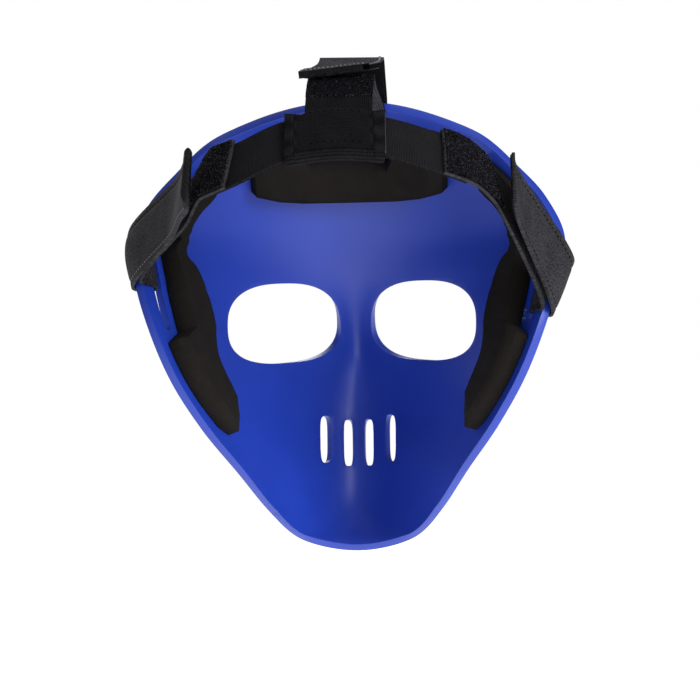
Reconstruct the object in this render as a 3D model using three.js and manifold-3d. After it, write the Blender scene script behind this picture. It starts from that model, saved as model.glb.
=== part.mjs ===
// Field hockey face mask: a moulded shell, foam pads and a sewn strap harness.
// Millimetres. +X is the wearer's left, -Y the front of the mask, +Z up.
import * as THREE from 'three';
import { mergeVertices } from 'three/addons/utils/BufferGeometryUtils.js';
import Module from 'manifold-3d';

const wasm = await Module();
wasm.setup();

// Driving dimensions of the shell
const SHELL_WALL = 4;
const SHELL_COLUMNS = 32;
const SHELL_ROWS = 30;
const UPPER_CORNER_Z = 108;
const LOWER_CORNER_Z = -80;
const NOSE = { height: 8, z: 2, halfWidth: 13, halfHeight: 26 };
const EYE = { x: 38, z: 14, halfWidth: 28, halfHeight: 21, squareness: 2.6, sides: 28 };
const VENT = {
  halfWidth: 3, halfHeight: 12, squareness: 4, sides: 12, pitch: 13, perSide: 2, z: -52, drop: 3,
};
const SLOT_BAR = 9;
const SLOT_WIDTH = 6;
const SLOT_TIP = 0.2;
const SLOT_CAP_PARTS = [0, 0.25, 0.6, 1];
const SLOT_RUN_PARTS = [0.25, 0.5, 0.75];
const SIDE_SLOT = { z: 42, length: 58 };
const TOP_SLOT = { z: 127, length: 46 };

// Level sections of the shell from brow to chin: half the width at the rim, and where the rim
// and the middle of the face lie from front to back
const SHELL_SECTIONS = [
  { z: 127, halfWidth: 0, rimY: -66, frontY: -66 },
  { z: 118, halfWidth: 47, rimY: -63, frontY: -79 },
  { z: 108, halfWidth: 68.5, rimY: -59, frontY: -89 },
  { z: 94, halfWidth: 83.8, rimY: -54, frontY: -99 },
  { z: 78, halfWidth: 98, rimY: -47, frontY: -108 },
  { z: 58, halfWidth: 107, rimY: -38, frontY: -115 },
  { z: 38, halfWidth: 103.5, rimY: -28, frontY: -119 },
  { z: 15, halfWidth: 96, rimY: -19, frontY: -127 },
  { z: -8, halfWidth: 86.5, rimY: -18, frontY: -135 },
  { z: -32, halfWidth: 73.5, rimY: -28, frontY: -137 },
  { z: -56, halfWidth: 58, rimY: -47, frontY: -132 },
  { z: -80, halfWidth: 43.5, rimY: -72, frontY: -124 },
  { z: -95, halfWidth: 31, rimY: -88, frontY: -113 },
  { z: -104, halfWidth: 0, rimY: -99, frontY: -99 },
];

// Foam pads: rows from top to bottom, or from the middle outwards, with the inset of each edge
const PAD_THICKNESS = 10;
const PAD_EDGE_THICKNESS = 6;
const SIDE_PAD_ROWS = [
  { z: 104, rear: 7, front: 17 },
  { z: 94, rear: 6, front: 21 },
  { z: 84, rear: 6, front: 24 },
  { z: 76, rear: 6, front: 26 },
  { z: 72, rear: 19, front: 29 },
  { z: 55, rear: 19, front: 34 },
  { z: 45, rear: 19, front: 38 },
  { z: 35, rear: 19, front: 42 },
  { z: 14, rear: 19, front: 45 },
  { z: 9, rear: 6, front: 45 },
  { z: -8, rear: 6, front: 42 },
  { z: -24, rear: 6, front: 36 },
  { z: -38, rear: 7, front: 29 },
  { z: -45, rear: 10, front: 22 },
];
const FOREHEAD_PAD_ROWS = [
  { x: 0, low: 80, high: 101 },
  { x: 22, low: 80, high: 101 },
  { x: 27, low: 80, high: 114 },
  { x: 40, low: 81, high: 110 },
  { x: 52, low: 84, high: 105 },
];
const PAD_COLUMNS = 5;

// The rounded hollow that the straps close around
const HOLLOW = { halfWidth: 76, radius: 95, z: 40, squareness: 2.6 };

// Tapes and straps
const SEAT_GAP = 0.3;
const ELASTIC = { width: 25, thickness: 1.5, offset: 2.4, endAngle: 50, steps: 24 };
const SLEEVE = {
  angle: -0.4, length: 42.5, height: 27.6, depth: 3.6, wall: 1.1, flatness: 1.6, sides: 16, rows: 8, sag: 2.4,
};
const STRAP_THICKNESS = 1.5;
const TAPE_THICKNESS = 1.1;
const FOLD_SLACK = 0.2;
const FOLD_RADIUS = SHELL_WALL / 2 + SEAT_GAP + FOLD_SLACK + STRAP_THICKNESS / 2;
const FOLD_STEPS = 6;
const FOLD_ENTRY = [{ inset: -3, drop: 0.8 }, { inset: SLOT_BAR / 2, drop: FOLD_SLACK }];
const FOLD_EXIT = { inset: -0.8, drop: 0.1 };
const SIDE_STRAP = {
  headHalfWidth: 13.5, slotHalfWidth: 14.8, widening: 0.4, startAngle: 38, endAngle: 76,
};
const SIDE_RUN_PARTS = [0, 0.16, 0.32, 0.5, 0.75, 1];
const SIDE_RUN_SKEW = [1, 0.5, 0, 0, 0, 0];
const SIDE_RUN_TUCK = [0, 0, 0, 0.5, 1, 1];
const SIDE_TAPE_WIDTH = 0.96;
const TOP_STRAP = { x: -1.5, slotX: -5, halfWidth: 15.5, offset: 1.2 };
const TOP_TAPE_WIDTH = 0.9;
const SIDE_LOOP_STATIONS = 5;
const TOP_LOOP_STATIONS = [1, 3];
const RIBBON_COLUMNS = [-1, -0.5, 0, 0.5, 1];

// Height of the middle of the band at each angle round the back, left positive
const BAND_COURSE = [
  { angle: -80, z: 80 },
  { angle: -58, z: 93 },
  { angle: -36, z: 100.5 },
  { angle: -18, z: 107 },
  { angle: 0, z: 109.5 },
  { angle: 18, z: 106 },
  { angle: 36, z: 96.5 },
  { angle: 56, z: 90 },
  { angle: 80, z: 80 },
];

// Each side strap: its place in the slot, how far its upper edge bulges off the rim, by what angle the
// upper corner of its sewn end is set forward, how far its run tucks in past the elastic, and where its
// two edges lie past the fold and at the free end: the angle round the back, how far they stand off
// and how far they sit above the run beneath
const SIDE_STRAPS = [
  {
    name: 'left', side: 1, slotZ: 51, bulge: 0, skew: 0, tuck: 3.2,
    free: [
      { upper: { angle: 80, flare: 1.2, lift: -4.5 }, lower: { angle: 80, flare: -2.6, lift: -7 } },
      { upper: { angle: 69, flare: 1, lift: -3.5 }, lower: { angle: 64, flare: -2.6, lift: -6 } },
      { upper: { angle: 61, flare: 2.2, lift: -1.5 }, lower: { angle: 50.5, flare: 0.4, lift: -5.5 } },
      { upper: { angle: 61, flare: 4.6, lift: 1.5 }, lower: { angle: 52, flare: 3.8, lift: -1.5 } },
    ],
  },
  {
    name: 'right', side: -1, slotZ: 34.5, bulge: 4, skew: 5, tuck: 0,
    free: [
      { upper: { angle: 80, flare: 6.7, lift: -4 }, lower: { angle: 80, flare: 1.2, lift: -4 } },
      { upper: { angle: 70, flare: 10, lift: -4 }, lower: { angle: 70, flare: 4, lift: -4 } },
    ],
  },
];

// Run of the top strap over the crown, as angles from upright, back positive, and its raised end
const TOP_STRAP_ANGLES = [34.2, 25, 14, 0, -16];
const TOP_ARCH = [
  { x: -5, y: -54, z: 139, yaw: 2, roll: -1 },
  { x: -5, y: -36, z: 146.4, yaw: 2, roll: -1 },
  { x: -4.5, y: -4, z: 143.3, yaw: 5, roll: 1 },
  { x: 3, y: 21, z: 140.1, yaw: 14, roll: 6 },
];

// Steps for slopes, for halving and for joining points
const SLOPE_STEP = 0.5;
const RIM_STEP = 0.005;
const HALVINGS = 40;
const MERGE_DISTANCE = 1e-4;
const LEAST_SQUARE = 0.01;

const degrees = THREE.MathUtils.degToRad;
const lerp = THREE.MathUtils.lerp;
const lastOf = (list) => list[list.length - 1];

// Smooth curve through one column of a table whose key column rises or falls throughout
function tableValue(rows, key, column, at) {
  const rising = lastOf(rows)[key] > rows[0][key];
  const sorted = rising ? rows : [...rows].reverse();
  const count = sorted.length;
  let k = sorted.findIndex((row) => row[key] > at) - 1;
  k = k < -1 ? count - 2 : THREE.MathUtils.clamp(k, 0, count - 2);
  const slope = (i) => {
    const before = sorted[Math.max(i - 1, 0)];
    const after = sorted[Math.min(i + 1, count - 1)];
    return (after[column] - before[column]) / (after[key] - before[key]);
  };
  const span = sorted[k + 1][key] - sorted[k][key];
  const t = (at - sorted[k][key]) / span;
  const start = sorted[k][column];
  const end = sorted[k + 1][column];
  const blend = t * t * (3 - 2 * t);
  const bend = t * (1 - t) * span * ((1 - t) * slope(k) - t * slope(k + 1));
  return start + (end - start) * blend + bend;
}

// Outer surface of the shell
const SECTIONS = SHELL_SECTIONS.map((row) => ({ ...row, widthSquared: row.halfWidth ** 2 }));
const TOP_Z = SECTIONS[0].z;
const CHIN_Z = lastOf(SECTIONS).z;
const MIDDLE_Z = (TOP_Z + CHIN_Z) / 2;

function widthSquared(z) {
  return Math.max(tableValue(SECTIONS, 'z', 'widthSquared', z), LEAST_SQUARE);
}

function surfaceY(x, z) {
  const front = tableValue(SECTIONS, 'z', 'frontY', z);
  const rim = tableValue(SECTIONS, 'z', 'rimY', z);
  const nose = Math.exp(-((x / NOSE.halfWidth) ** 2) - ((z - NOSE.z) / NOSE.halfHeight) ** 2);
  return front + ((rim - front) * x * x) / widthSquared(z) - NOSE.height * nose;
}

function surfacePoint(x, z) {
  return new THREE.Vector3(x, surfaceY(x, z), z);
}

function surfaceNormal(x, z) {
  const inward = z > MIDDLE_Z ? -SLOPE_STEP : SLOPE_STEP;
  const acrossSlope = (surfaceY(x + SLOPE_STEP, z) - surfaceY(x - SLOPE_STEP, z)) / (2 * SLOPE_STEP);
  const upSlope = (surfaceY(x, z + inward) - surfaceY(x, z)) / inward;
  return new THREE.Vector3(acrossSlope, -1, upSlope).normalize();
}

// Height of the rim above or below a point of its upper or lower arc
function arcHeight(x, cornerZ, endZ) {
  let inside = cornerZ;
  let outside = endZ;
  for (let i = 0; i < HALVINGS; i++) {
    const middle = (inside + outside) / 2;
    if (widthSquared(middle) > x * x) inside = middle;
    else outside = middle;
  }
  return inside;
}

function shellGrid() {
  const upperHalf = Math.sqrt(widthSquared(UPPER_CORNER_Z));
  const lowerHalf = Math.sqrt(widthSquared(LOWER_CORNER_Z));
  const grid = [];
  for (let i = 0; i <= SHELL_ROWS; i++) {
    const v = i / SHELL_ROWS;
    const sideZ = lerp(LOWER_CORNER_Z, UPPER_CORNER_Z, v);
    const halfWidth = Math.sqrt(widthSquared(sideZ));
    const row = [];
    for (let j = 0; j <= SHELL_COLUMNS; j++) {
      const u = (2 * j) / SHELL_COLUMNS - 1;
      const chinBow = arcHeight(u * lowerHalf, LOWER_CORNER_Z, CHIN_Z) - LOWER_CORNER_Z;
      const browBow = arcHeight(u * upperHalf, UPPER_CORNER_Z, TOP_Z) - UPPER_CORNER_Z;
      row.push(surfacePoint(u * halfWidth, sideZ + (1 - v) * chinBow + v * browBow));
    }
    grid.push(row);
  }
  return grid;
}

// Rim of the shell from the middle of the brow (0) down to the chin (1), right side negative
function rimPoint(t) {
  const z = TOP_Z - ((TOP_Z - CHIN_Z) * (1 - Math.cos(Math.PI * t))) / 2;
  const x = Math.sign(t) * Math.sqrt(widthSquared(z));
  return new THREE.Vector3(x, tableValue(SECTIONS, 'z', 'rimY', z), z);
}

function rimPosition(z) {
  return Math.acos(1 - (2 * (TOP_Z - z)) / (TOP_Z - CHIN_Z)) / Math.PI;
}

// Place along the rim that lies a distance further down, or further left, than another
function rimShift(t, distance) {
  const span = rimPoint(t + RIM_STEP).distanceTo(rimPoint(t - RIM_STEP));
  return t + (distance * 2 * RIM_STEP) / span;
}

// Point at an inset from the rim along the surface, and at a height above its outer face
function rimOffsetPoint(t, inset, height) {
  const rim = rimPoint(t);
  const along = rimPoint(t + RIM_STEP).sub(rimPoint(t - RIM_STEP)).normalize();
  const rimNormal = surfaceNormal(rim.x, rim.z);
  const outward = new THREE.Vector3().crossVectors(rimNormal, along).normalize();
  if (outward.y < 0) outward.negate();
  const flat = rim.clone().addScaledVector(outward, -inset);
  if (inset <= 0) return flat.addScaledVector(rimNormal, height);
  const normal = surfaceNormal(flat.x, flat.z);
  return surfacePoint(flat.x, flat.z).addScaledVector(normal, height);
}

// Solids from grids of points
function gridNormals(grid, wrap = false) {
  const rows = grid.length;
  const columns = grid[0].length;
  return grid.map((row, i) => row.map((point, j) => {
    const along = grid[Math.min(i + 1, rows - 1)][j].clone().sub(grid[Math.max(i - 1, 0)][j]);
    const next = wrap ? (j + 1) % columns : Math.min(j + 1, columns - 1);
    const previous = wrap ? (j + columns - 1) % columns : Math.max(j - 1, 0);
    return along.cross(row[next].clone().sub(row[previous])).normalize();
  }));
}

function offsetGrid(grid, distance, normals = gridNormals(grid)) {
  return grid.map((row, i) => row.map((point, j) => point.clone().addScaledVector(normals[i][j], distance)));
}

// Closed wall between two like grids, whose columns may close on themselves
function wallGeometry(lower, upper, wrap = false) {
  const rows = lower.length;
  const columns = lower[0].length;
  const positions = [lower, upper].flat(2).flatMap((point) => point.toArray());
  const index = [];
  const quad = (a, b, c, d) => index.push(a, b, c, a, c, d);
  const vertex = (layer, i, j) => (layer * rows + i) * columns + (j % columns);
  const spans = wrap ? columns : columns - 1;
  for (let i = 0; i < rows - 1; i++) {
    for (let j = 0; j < spans; j++) {
      quad(vertex(1, i, j), vertex(1, i + 1, j), vertex(1, i + 1, j + 1), vertex(1, i, j + 1));
      quad(vertex(0, i, j), vertex(0, i, j + 1), vertex(0, i + 1, j + 1), vertex(0, i + 1, j));
    }
  }
  for (let j = 0; j < spans; j++) {
    quad(vertex(0, 0, j), vertex(1, 0, j), vertex(1, 0, j + 1), vertex(0, 0, j + 1));
    const end = rows - 1;
    quad(vertex(0, end, j), vertex(0, end, j + 1), vertex(1, end, j + 1), vertex(1, end, j));
  }
  for (let i = 0; i < rows - 1 && !wrap; i++) {
    quad(vertex(0, i, 0), vertex(0, i + 1, 0), vertex(1, i + 1, 0), vertex(1, i, 0));
    const end = columns - 1;
    quad(vertex(0, i, end), vertex(1, i, end), vertex(1, i + 1, end), vertex(0, i + 1, end));
  }
  const geometry = new THREE.BufferGeometry();
  geometry.setAttribute('position', new THREE.Float32BufferAttribute(positions, 3));
  geometry.setIndex(index);
  return geometry;
}

function toSolid(geometry) {
  const bare = geometry.clone();
  bare.deleteAttribute('normal');
  bare.deleteAttribute('uv');
  const merged = mergeVertices(bare, MERGE_DISTANCE);
  return new wasm.Manifold(new wasm.Mesh({
    numProp: 3,
    vertProperties: new Float32Array(merged.attributes.position.array),
    triVerts: new Uint32Array(merged.index.array),
  }));
}

function fromSolid(solid) {
  const mesh = solid.getMesh();
  const geometry = new THREE.BufferGeometry();
  geometry.setAttribute('position', new THREE.Float32BufferAttribute(mesh.vertProperties, 3));
  geometry.setIndex([...mesh.triVerts]);
  return geometry;
}

// Rounded outline in the front view, cut through the shell from front to back
function frontCutter(x, z, halfWidth, halfHeight, squareness, sides) {
  const outline = [];
  for (let i = 0; i < sides; i++) {
    const turn = (2 * Math.PI * i) / sides;
    const round = (value) => Math.sign(value) * Math.abs(value) ** (2 / squareness);
    outline.push(new THREE.Vector2(
      x + halfWidth * round(Math.cos(turn)),
      z + halfHeight * round(Math.sin(turn)),
    ));
  }
  const depth = 2 * HOLLOW.radius;
  const cutter = new THREE.ExtrudeGeometry(new THREE.Shape(outline), { depth, bevelEnabled: false });
  return cutter.rotateX(Math.PI / 2);
}

// Slot that follows the rim, with rounded ends
function rimSlotCutter(middle, length) {
  const halfSlot = SLOT_WIDTH / 2;
  const endCap = SLOT_CAP_PARTS.map((part) => part * halfSlot);
  const straight = SLOT_RUN_PARTS.map((part) => part * length);
  const distances = [...endCap, ...straight, ...endCap.map((part) => length - part).reverse()];
  const grid = distances.map((distance) => {
    const fromEnd = Math.min(distance, length - distance, halfSlot);
    const half = Math.max(Math.sqrt(halfSlot ** 2 - (halfSlot - fromEnd) ** 2), SLOT_TIP);
    const t = rimShift(middle, distance - length / 2);
    return [-half, 0, half].map((aside) => rimOffsetPoint(t, SLOT_BAR + halfSlot + aside, 0));
  });
  return wallGeometry(offsetGrid(grid, -2 * SHELL_WALL), offsetGrid(grid, 2 * SHELL_WALL));
}

function shellGeometry() {
  const outer = shellGrid();
  const normals = outer.map((row) => row.map((point) => surfaceNormal(point.x, point.z)));
  const solid = toSolid(wallGeometry(outer, offsetGrid(outer, -SHELL_WALL, normals)));
  const cutters = [];
  for (const side of [-1, 1]) {
    const eye = [side * EYE.x, EYE.z, EYE.halfWidth, EYE.halfHeight, EYE.squareness, EYE.sides];
    cutters.push(frontCutter(...eye));
    for (let k = 0; k < VENT.perSide; k++) {
      const x = side * (k + 0.5) * VENT.pitch;
      const z = VENT.z + k * VENT.drop;
      cutters.push(frontCutter(x, z, VENT.halfWidth, VENT.halfHeight, VENT.squareness, VENT.sides));
    }
    cutters.push(rimSlotCutter(side * rimPosition(SIDE_SLOT.z), SIDE_SLOT.length));
  }
  cutters.push(rimSlotCutter(rimPosition(TOP_SLOT.z), TOP_SLOT.length));
  return fromSolid(cutters.reduce((rest, cutter) => rest.subtract(toSolid(cutter)), solid));
}

// Foam pads on the inner face of the shell
const PAD_SEAT = -SHELL_WALL - SEAT_GAP;

function padGeometry(grid, facing) {
  const normals = gridNormals(grid);
  const inner = grid.map((row, i) => row.map((point, j) => {
    const isEdge = i === 0 || j === 0 || i === grid.length - 1 || j === row.length - 1;
    const thickness = isEdge ? PAD_EDGE_THICKNESS : PAD_THICKNESS;
    return point.clone().addScaledVector(normals[i][j], facing * thickness);
  }));
  return wallGeometry(grid, inner);
}

function sidePadGrid(side) {
  return SIDE_PAD_ROWS.map((row) => {
    const t = side * rimPosition(row.z);
    const points = [];
    for (let j = 0; j <= PAD_COLUMNS; j++) {
      points.push(rimOffsetPoint(t, lerp(row.rear, row.front, j / PAD_COLUMNS), PAD_SEAT));
    }
    return points;
  });
}

function foreheadPadGrid() {
  const right = FOREHEAD_PAD_ROWS.slice(1).reverse().map((row) => ({ ...row, x: -row.x }));
  return [...right, ...FOREHEAD_PAD_ROWS].map((row) => {
    const points = [];
    for (let j = 0; j <= PAD_COLUMNS; j++) {
      const z = lerp(row.low, row.high, j / PAD_COLUMNS);
      points.push(surfacePoint(row.x, z).addScaledVector(surfaceNormal(row.x, z), PAD_SEAT));
    }
    return points;
  });
}

// Frames on the hollow that the band follows
function hollowFrame(angle, z, offset) {
  const turn = degrees(angle);
  const level = 1 - ((z - HOLLOW.z) / HOLLOW.radius) ** 2;
  let near = 0;
  let far = 1.5 * HOLLOW.radius;
  for (let i = 0; i < HALVINGS; i++) {
    const reach = (near + far) / 2;
    const x = (reach * Math.sin(turn)) / HOLLOW.halfWidth;
    const y = (reach * Math.cos(turn)) / HOLLOW.radius;
    if (Math.abs(x) ** HOLLOW.squareness + y ** 2 < level) near = reach;
    else far = reach;
  }
  const point = new THREE.Vector3(near * Math.sin(turn), near * Math.cos(turn), z);
  const normal = new THREE.Vector3(
    Math.sign(turn) * HOLLOW.squareness * Math.abs(point.x / HOLLOW.halfWidth) ** (HOLLOW.squareness - 1)
      / HOLLOW.halfWidth,
    (2 * point.y) / HOLLOW.radius ** 2,
    (2 * (z - HOLLOW.z)) / HOLLOW.radius ** 2,
  ).normalize();
  return { point: point.addScaledVector(normal, offset), normal };
}

// Frame of the band at an angle: its middle, its face and the way down across it
function bandFrame(angle, offset) {
  const heightAt = (at) => tableValue(BAND_COURSE, 'angle', 'z', at);
  const { point, normal } = hollowFrame(angle, heightAt(angle), offset);
  const ahead = hollowFrame(angle + 1, heightAt(angle + 1), offset).point;
  const behind = hollowFrame(angle - 1, heightAt(angle - 1), offset).point;
  const down = ahead.sub(behind).cross(normal).normalize();
  if (down.z > 0) down.negate();
  return { point, normal, down };
}

function elasticGrid() {
  const rows = [];
  for (let i = 0; i <= ELASTIC.steps; i++) {
    const angle = lerp(-ELASTIC.endAngle, ELASTIC.endAngle, i / ELASTIC.steps);
    const frame = bandFrame(angle, ELASTIC.offset);
    const across = (part) => frame.point.clone().addScaledVector(frame.down, (part * ELASTIC.width) / 2);
    rows.push([-1, 0, 1].map(across));
  }
  return rows;
}

// Flat tube round the elastic
function sleeveGrid() {
  const radius = hollowFrame(0, tableValue(BAND_COURSE, 'angle', 'z', 0), ELASTIC.offset).point.y;
  const halfAngle = THREE.MathUtils.radToDeg(SLEEVE.length / 2 / radius);
  const halfDepth = SLEEVE.depth / 2;
  const halfStraight = SLEEVE.height / 2 - halfDepth;
  const middleDown = bandFrame(SLEEVE.angle, ELASTIC.offset).down;
  const rows = [];
  for (let i = 0; i <= SLEEVE.rows; i++) {
    const part = (2 * i) / SLEEVE.rows - 1;
    const frame = bandFrame(SLEEVE.angle + part * halfAngle, ELASTIC.offset);
    const sag = SLEEVE.sag * (1 - part ** 2);
    frame.down = middleDown.clone().projectOnPlane(frame.normal).normalize();
    const row = [];
    for (let j = 0; j < SLEEVE.sides; j++) {
      const turn = (2 * Math.PI * (j + 0.5)) / SLEEVE.sides;
      const straight = THREE.MathUtils.clamp(SLEEVE.flatness * Math.cos(turn), -1, 1) * halfStraight;
      const down = straight + halfDepth * Math.cos(turn) + sag * Math.max(Math.cos(turn), 0);
      const point = frame.point.clone().addScaledVector(frame.down, down);
      row.push(point.addScaledVector(frame.normal, halfDepth * Math.sin(turn)));
    }
    rows.push(row);
  }
  return rows;
}

// Ribbon through stations, each of which gives a point across the width, from -1 to 1
function ribbonGrid(stations, from, to, widthScale = 1) {
  const last = stations.length - 1;
  const curves = RIBBON_COLUMNS.map((across) => new THREE.CatmullRomCurve3(
    stations.map((station) => station.point(across * widthScale)),
    false,
    'centripetal',
  ));
  const places = [];
  for (let k = from; k < to; k++) {
    for (let i = 0; i < stations[k].steps; i++) places.push((k + i / stations[k].steps) / last);
  }
  places.push(to / last);
  return places.map((place) => curves.map((curve) => curve.getPoint(place)));
}

// Way of a strap round the bar beside a slot: inside it, through the slot and back outside
function foldStations(middle, halfWidth, bulge = 0) {
  const wallMiddle = -SHELL_WALL / 2;
  const innerHeight = wallMiddle - FOLD_RADIUS;
  const way = FOLD_ENTRY.map(({ inset, drop }) => ({ inset, height: innerHeight - drop, steps: 1 }));
  for (let i = 0; i <= FOLD_STEPS; i++) {
    const turn = Math.PI * (i / FOLD_STEPS - 0.5);
    const inset = SLOT_BAR + FOLD_RADIUS * Math.cos(turn);
    way.push({ inset, height: wallMiddle + FOLD_RADIUS * Math.sin(turn), steps: 1 });
  }
  lastOf(way).steps = 2;
  const exitHeight = wallMiddle + FOLD_RADIUS - FOLD_EXIT.drop;
  way.push({ inset: FOLD_EXIT.inset, height: exitHeight, bulge, steps: 3 });
  return way.map((station) => ({
    steps: station.steps,
    point: (across) => {
      const height = station.height + ((station.bulge ?? 0) * (1 - across)) / 2;
      return rimOffsetPoint(rimShift(middle, across * halfWidth), station.inset, height);
    },
  }));
}

const STRAP_OFFSET = ELASTIC.offset + ELASTIC.thickness / 2 + SEAT_GAP + STRAP_THICKNESS / 2;
const TAPE_OFFSET = STRAP_THICKNESS / 2 + SEAT_GAP + TAPE_THICKNESS / 2;
const LAYERS_APART = 2 * TAPE_OFFSET + TAPE_THICKNESS + 2 * SEAT_GAP;

function sideStrapStations(strap) {
  const { side, slotZ, bulge, skew, tuck } = strap;
  const { headHalfWidth, slotHalfWidth, widening, startAngle, endAngle } = SIDE_STRAP;
  const run = SIDE_RUN_PARTS.map((part, i) => {
    const offset = STRAP_OFFSET - tuck * SIDE_RUN_TUCK[i];
    const halfWidth = lerp(headHalfWidth, slotHalfWidth, widening * part ** 2);
    const point = (across) => {
      const ahead = skew * SIDE_RUN_SKEW[i] * (1 - across) / 2;
      const frame = bandFrame(side * (lerp(startAngle, endAngle, part) + ahead), offset);
      return frame.point.addScaledVector(frame.down, across * halfWidth);
    };
    return { steps: 2, point };
  });
  const fold = foldStations(side * rimPosition(slotZ), side * slotHalfWidth, bulge);
  const freeEnd = strap.free.map(({ upper, lower }) => {
    const point = (across) => {
      const mix = (key) => lerp(lower[key], upper[key], (1 - across) / 2);
      const frame = bandFrame(side * mix('angle'), STRAP_OFFSET + LAYERS_APART);
      return frame.point
        .addScaledVector(frame.down, across * slotHalfWidth - mix('lift'))
        .addScaledVector(frame.normal, mix('flare'));
    };
    return { steps: 3, point };
  });
  return [...run, ...fold, ...freeEnd];
}

function topStrapStations() {
  const { x: middleX, slotX, halfWidth, offset } = TOP_STRAP;
  const run = TOP_STRAP_ANGLES.map((angle) => {
    const reach = HOLLOW.radius + offset;
    const y = reach * Math.sin(degrees(angle));
    const z = HOLLOW.z + reach * Math.cos(degrees(angle));
    return { steps: 2, point: (across) => new THREE.Vector3(middleX + across * halfWidth, y, z) };
  });
  const arch = TOP_ARCH.map(({ x, y, z, yaw, roll }) => {
    const aside = new THREE.Vector3(1, Math.tan(degrees(yaw)), -Math.tan(degrees(roll))).normalize();
    const middle = new THREE.Vector3(x, y, z);
    return { steps: 4, point: (across) => middle.clone().addScaledVector(aside, across * halfWidth) };
  });
  const slotMiddle = rimShift(rimPosition(TOP_SLOT.z), slotX);
  return [...run, ...foldStations(slotMiddle, halfWidth), ...arch];
}

// Materials and assembly
const FINISHES = {
  shell: { color: 0x2f52b8, roughness: 0.38 },
  foam: { color: 0x1d1a19, roughness: 0.9 },
  elastic: { color: 0x19191b, roughness: 0.85 },
  webbing: { color: 0x2a292c, roughness: 0.8 },
  loop: { color: 0x17161a, roughness: 0.95 },
  hook: { color: 0x1b1b1d, roughness: 0.7 },
};

const mask = new THREE.Group();

function addPiece(name, finish, geometry) {
  const solid = toSolid(geometry);
  const upright = solid.volume() > 0 ? geometry : geometry.setIndex([...geometry.index.array].reverse());
  upright.computeVertexNormals();
  const material = new THREE.MeshStandardMaterial({ ...FINISHES[finish], metalness: 0 });
  const mesh = new THREE.Mesh(upright, material);
  mesh.name = name;
  mask.add(mesh);
}

function addTape(name, finish, grid, thickness) {
  addPiece(name, finish, wallGeometry(offsetGrid(grid, -thickness / 2), offsetGrid(grid, thickness / 2)));
}

addPiece('shell', 'shell', shellGeometry());
addPiece('forehead_pad', 'foam', padGeometry(foreheadPadGrid(), -1));
addPiece('side_pad_left', 'foam', padGeometry(sidePadGrid(1), 1));
addPiece('side_pad_right', 'foam', padGeometry(sidePadGrid(-1), -1));
addTape('elastic_band', 'elastic', elasticGrid(), ELASTIC.thickness);
const sleeveInside = sleeveGrid();
const sleeveOutside = offsetGrid(sleeveInside, -SLEEVE.wall, gridNormals(sleeveInside, true));
addPiece('band_sleeve', 'webbing', wallGeometry(sleeveInside, sleeveOutside, true));

for (const strap of SIDE_STRAPS) {
  const stations = sideStrapStations(strap);
  const last = stations.length - 1;
  const tape = strap.side * TAPE_OFFSET;
  addTape(`side_strap_${strap.name}`, 'webbing', ribbonGrid(stations, 0, last), STRAP_THICKNESS);
  const loop = offsetGrid(ribbonGrid(stations, 0, SIDE_LOOP_STATIONS, SIDE_TAPE_WIDTH), tape);
  addTape(`loop_patch_${strap.name}`, 'loop', loop, TAPE_THICKNESS);
  const hook = offsetGrid(ribbonGrid(stations, last - strap.free.length + 1, last, SIDE_TAPE_WIDTH), tape);
  addTape(`hook_patch_${strap.name}`, 'hook', hook, TAPE_THICKNESS);
}

const topStations = topStrapStations();
const topLast = topStations.length - 1;
addTape('top_strap', 'webbing', ribbonGrid(topStations, 0, topLast), STRAP_THICKNESS);
const topLoop = offsetGrid(ribbonGrid(topStations, ...TOP_LOOP_STATIONS, TOP_TAPE_WIDTH), TAPE_OFFSET);
addTape('top_loop_patch', 'loop', topLoop, TAPE_THICKNESS);
const topHook = offsetGrid(ribbonGrid(topStations, topLast - 1, topLast, TOP_TAPE_WIDTH), TAPE_OFFSET);
addTape('top_hook_patch', 'hook', topHook, TAPE_THICKNESS);

export default mask;
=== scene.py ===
# %% [markdown]
# # Field hockey face mask
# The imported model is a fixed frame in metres. Each piece below is made where its solid is, with
# the same sizes in millimetres, and then takes that solid's place. The lesson goes from camera
# and light to the shell, the foam, the straps with their tapes, and last the sewing.

# %% Load the frame
import bisect
import math
import random

import bmesh
import bpy
from mathutils import Matrix, Quaternion, Vector


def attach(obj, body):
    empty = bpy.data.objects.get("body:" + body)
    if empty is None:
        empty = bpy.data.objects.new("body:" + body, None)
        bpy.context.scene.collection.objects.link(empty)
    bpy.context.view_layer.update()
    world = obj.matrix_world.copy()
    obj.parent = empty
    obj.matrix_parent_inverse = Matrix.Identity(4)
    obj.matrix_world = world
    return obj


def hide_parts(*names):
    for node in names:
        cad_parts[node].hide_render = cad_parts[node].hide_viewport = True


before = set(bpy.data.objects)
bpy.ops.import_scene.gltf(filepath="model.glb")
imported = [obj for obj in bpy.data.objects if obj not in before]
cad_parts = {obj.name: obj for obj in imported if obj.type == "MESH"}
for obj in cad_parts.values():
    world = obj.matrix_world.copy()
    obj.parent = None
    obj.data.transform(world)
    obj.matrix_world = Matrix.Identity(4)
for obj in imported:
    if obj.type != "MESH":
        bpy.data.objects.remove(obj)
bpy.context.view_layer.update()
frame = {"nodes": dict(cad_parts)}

scene = bpy.context.scene
MM = 0.001
print("solids to dress:", ", ".join(sorted(frame["nodes"])))

# %% [markdown]
# ## Camera
# The picture is taken from behind, a little above the middle, with a long lens. A camera could be
# aimed by eye, but a distance, three angles and the lens in pixels can be checked against the
# picture, so those are the values here. The small roll is the tilt of the worn mask.

# %% Camera
IMAGE_SIDE = 700
LENS_PIXELS = 2917
CAMERA_DISTANCE = 1.4
CAMERA_TURN, CAMERA_RISE, CAMERA_ROLL = (math.radians(angle) for angle in (-2.5, 4.5, -1.4))
ORIGIN_PIXEL = (346.3, 365.0)

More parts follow.
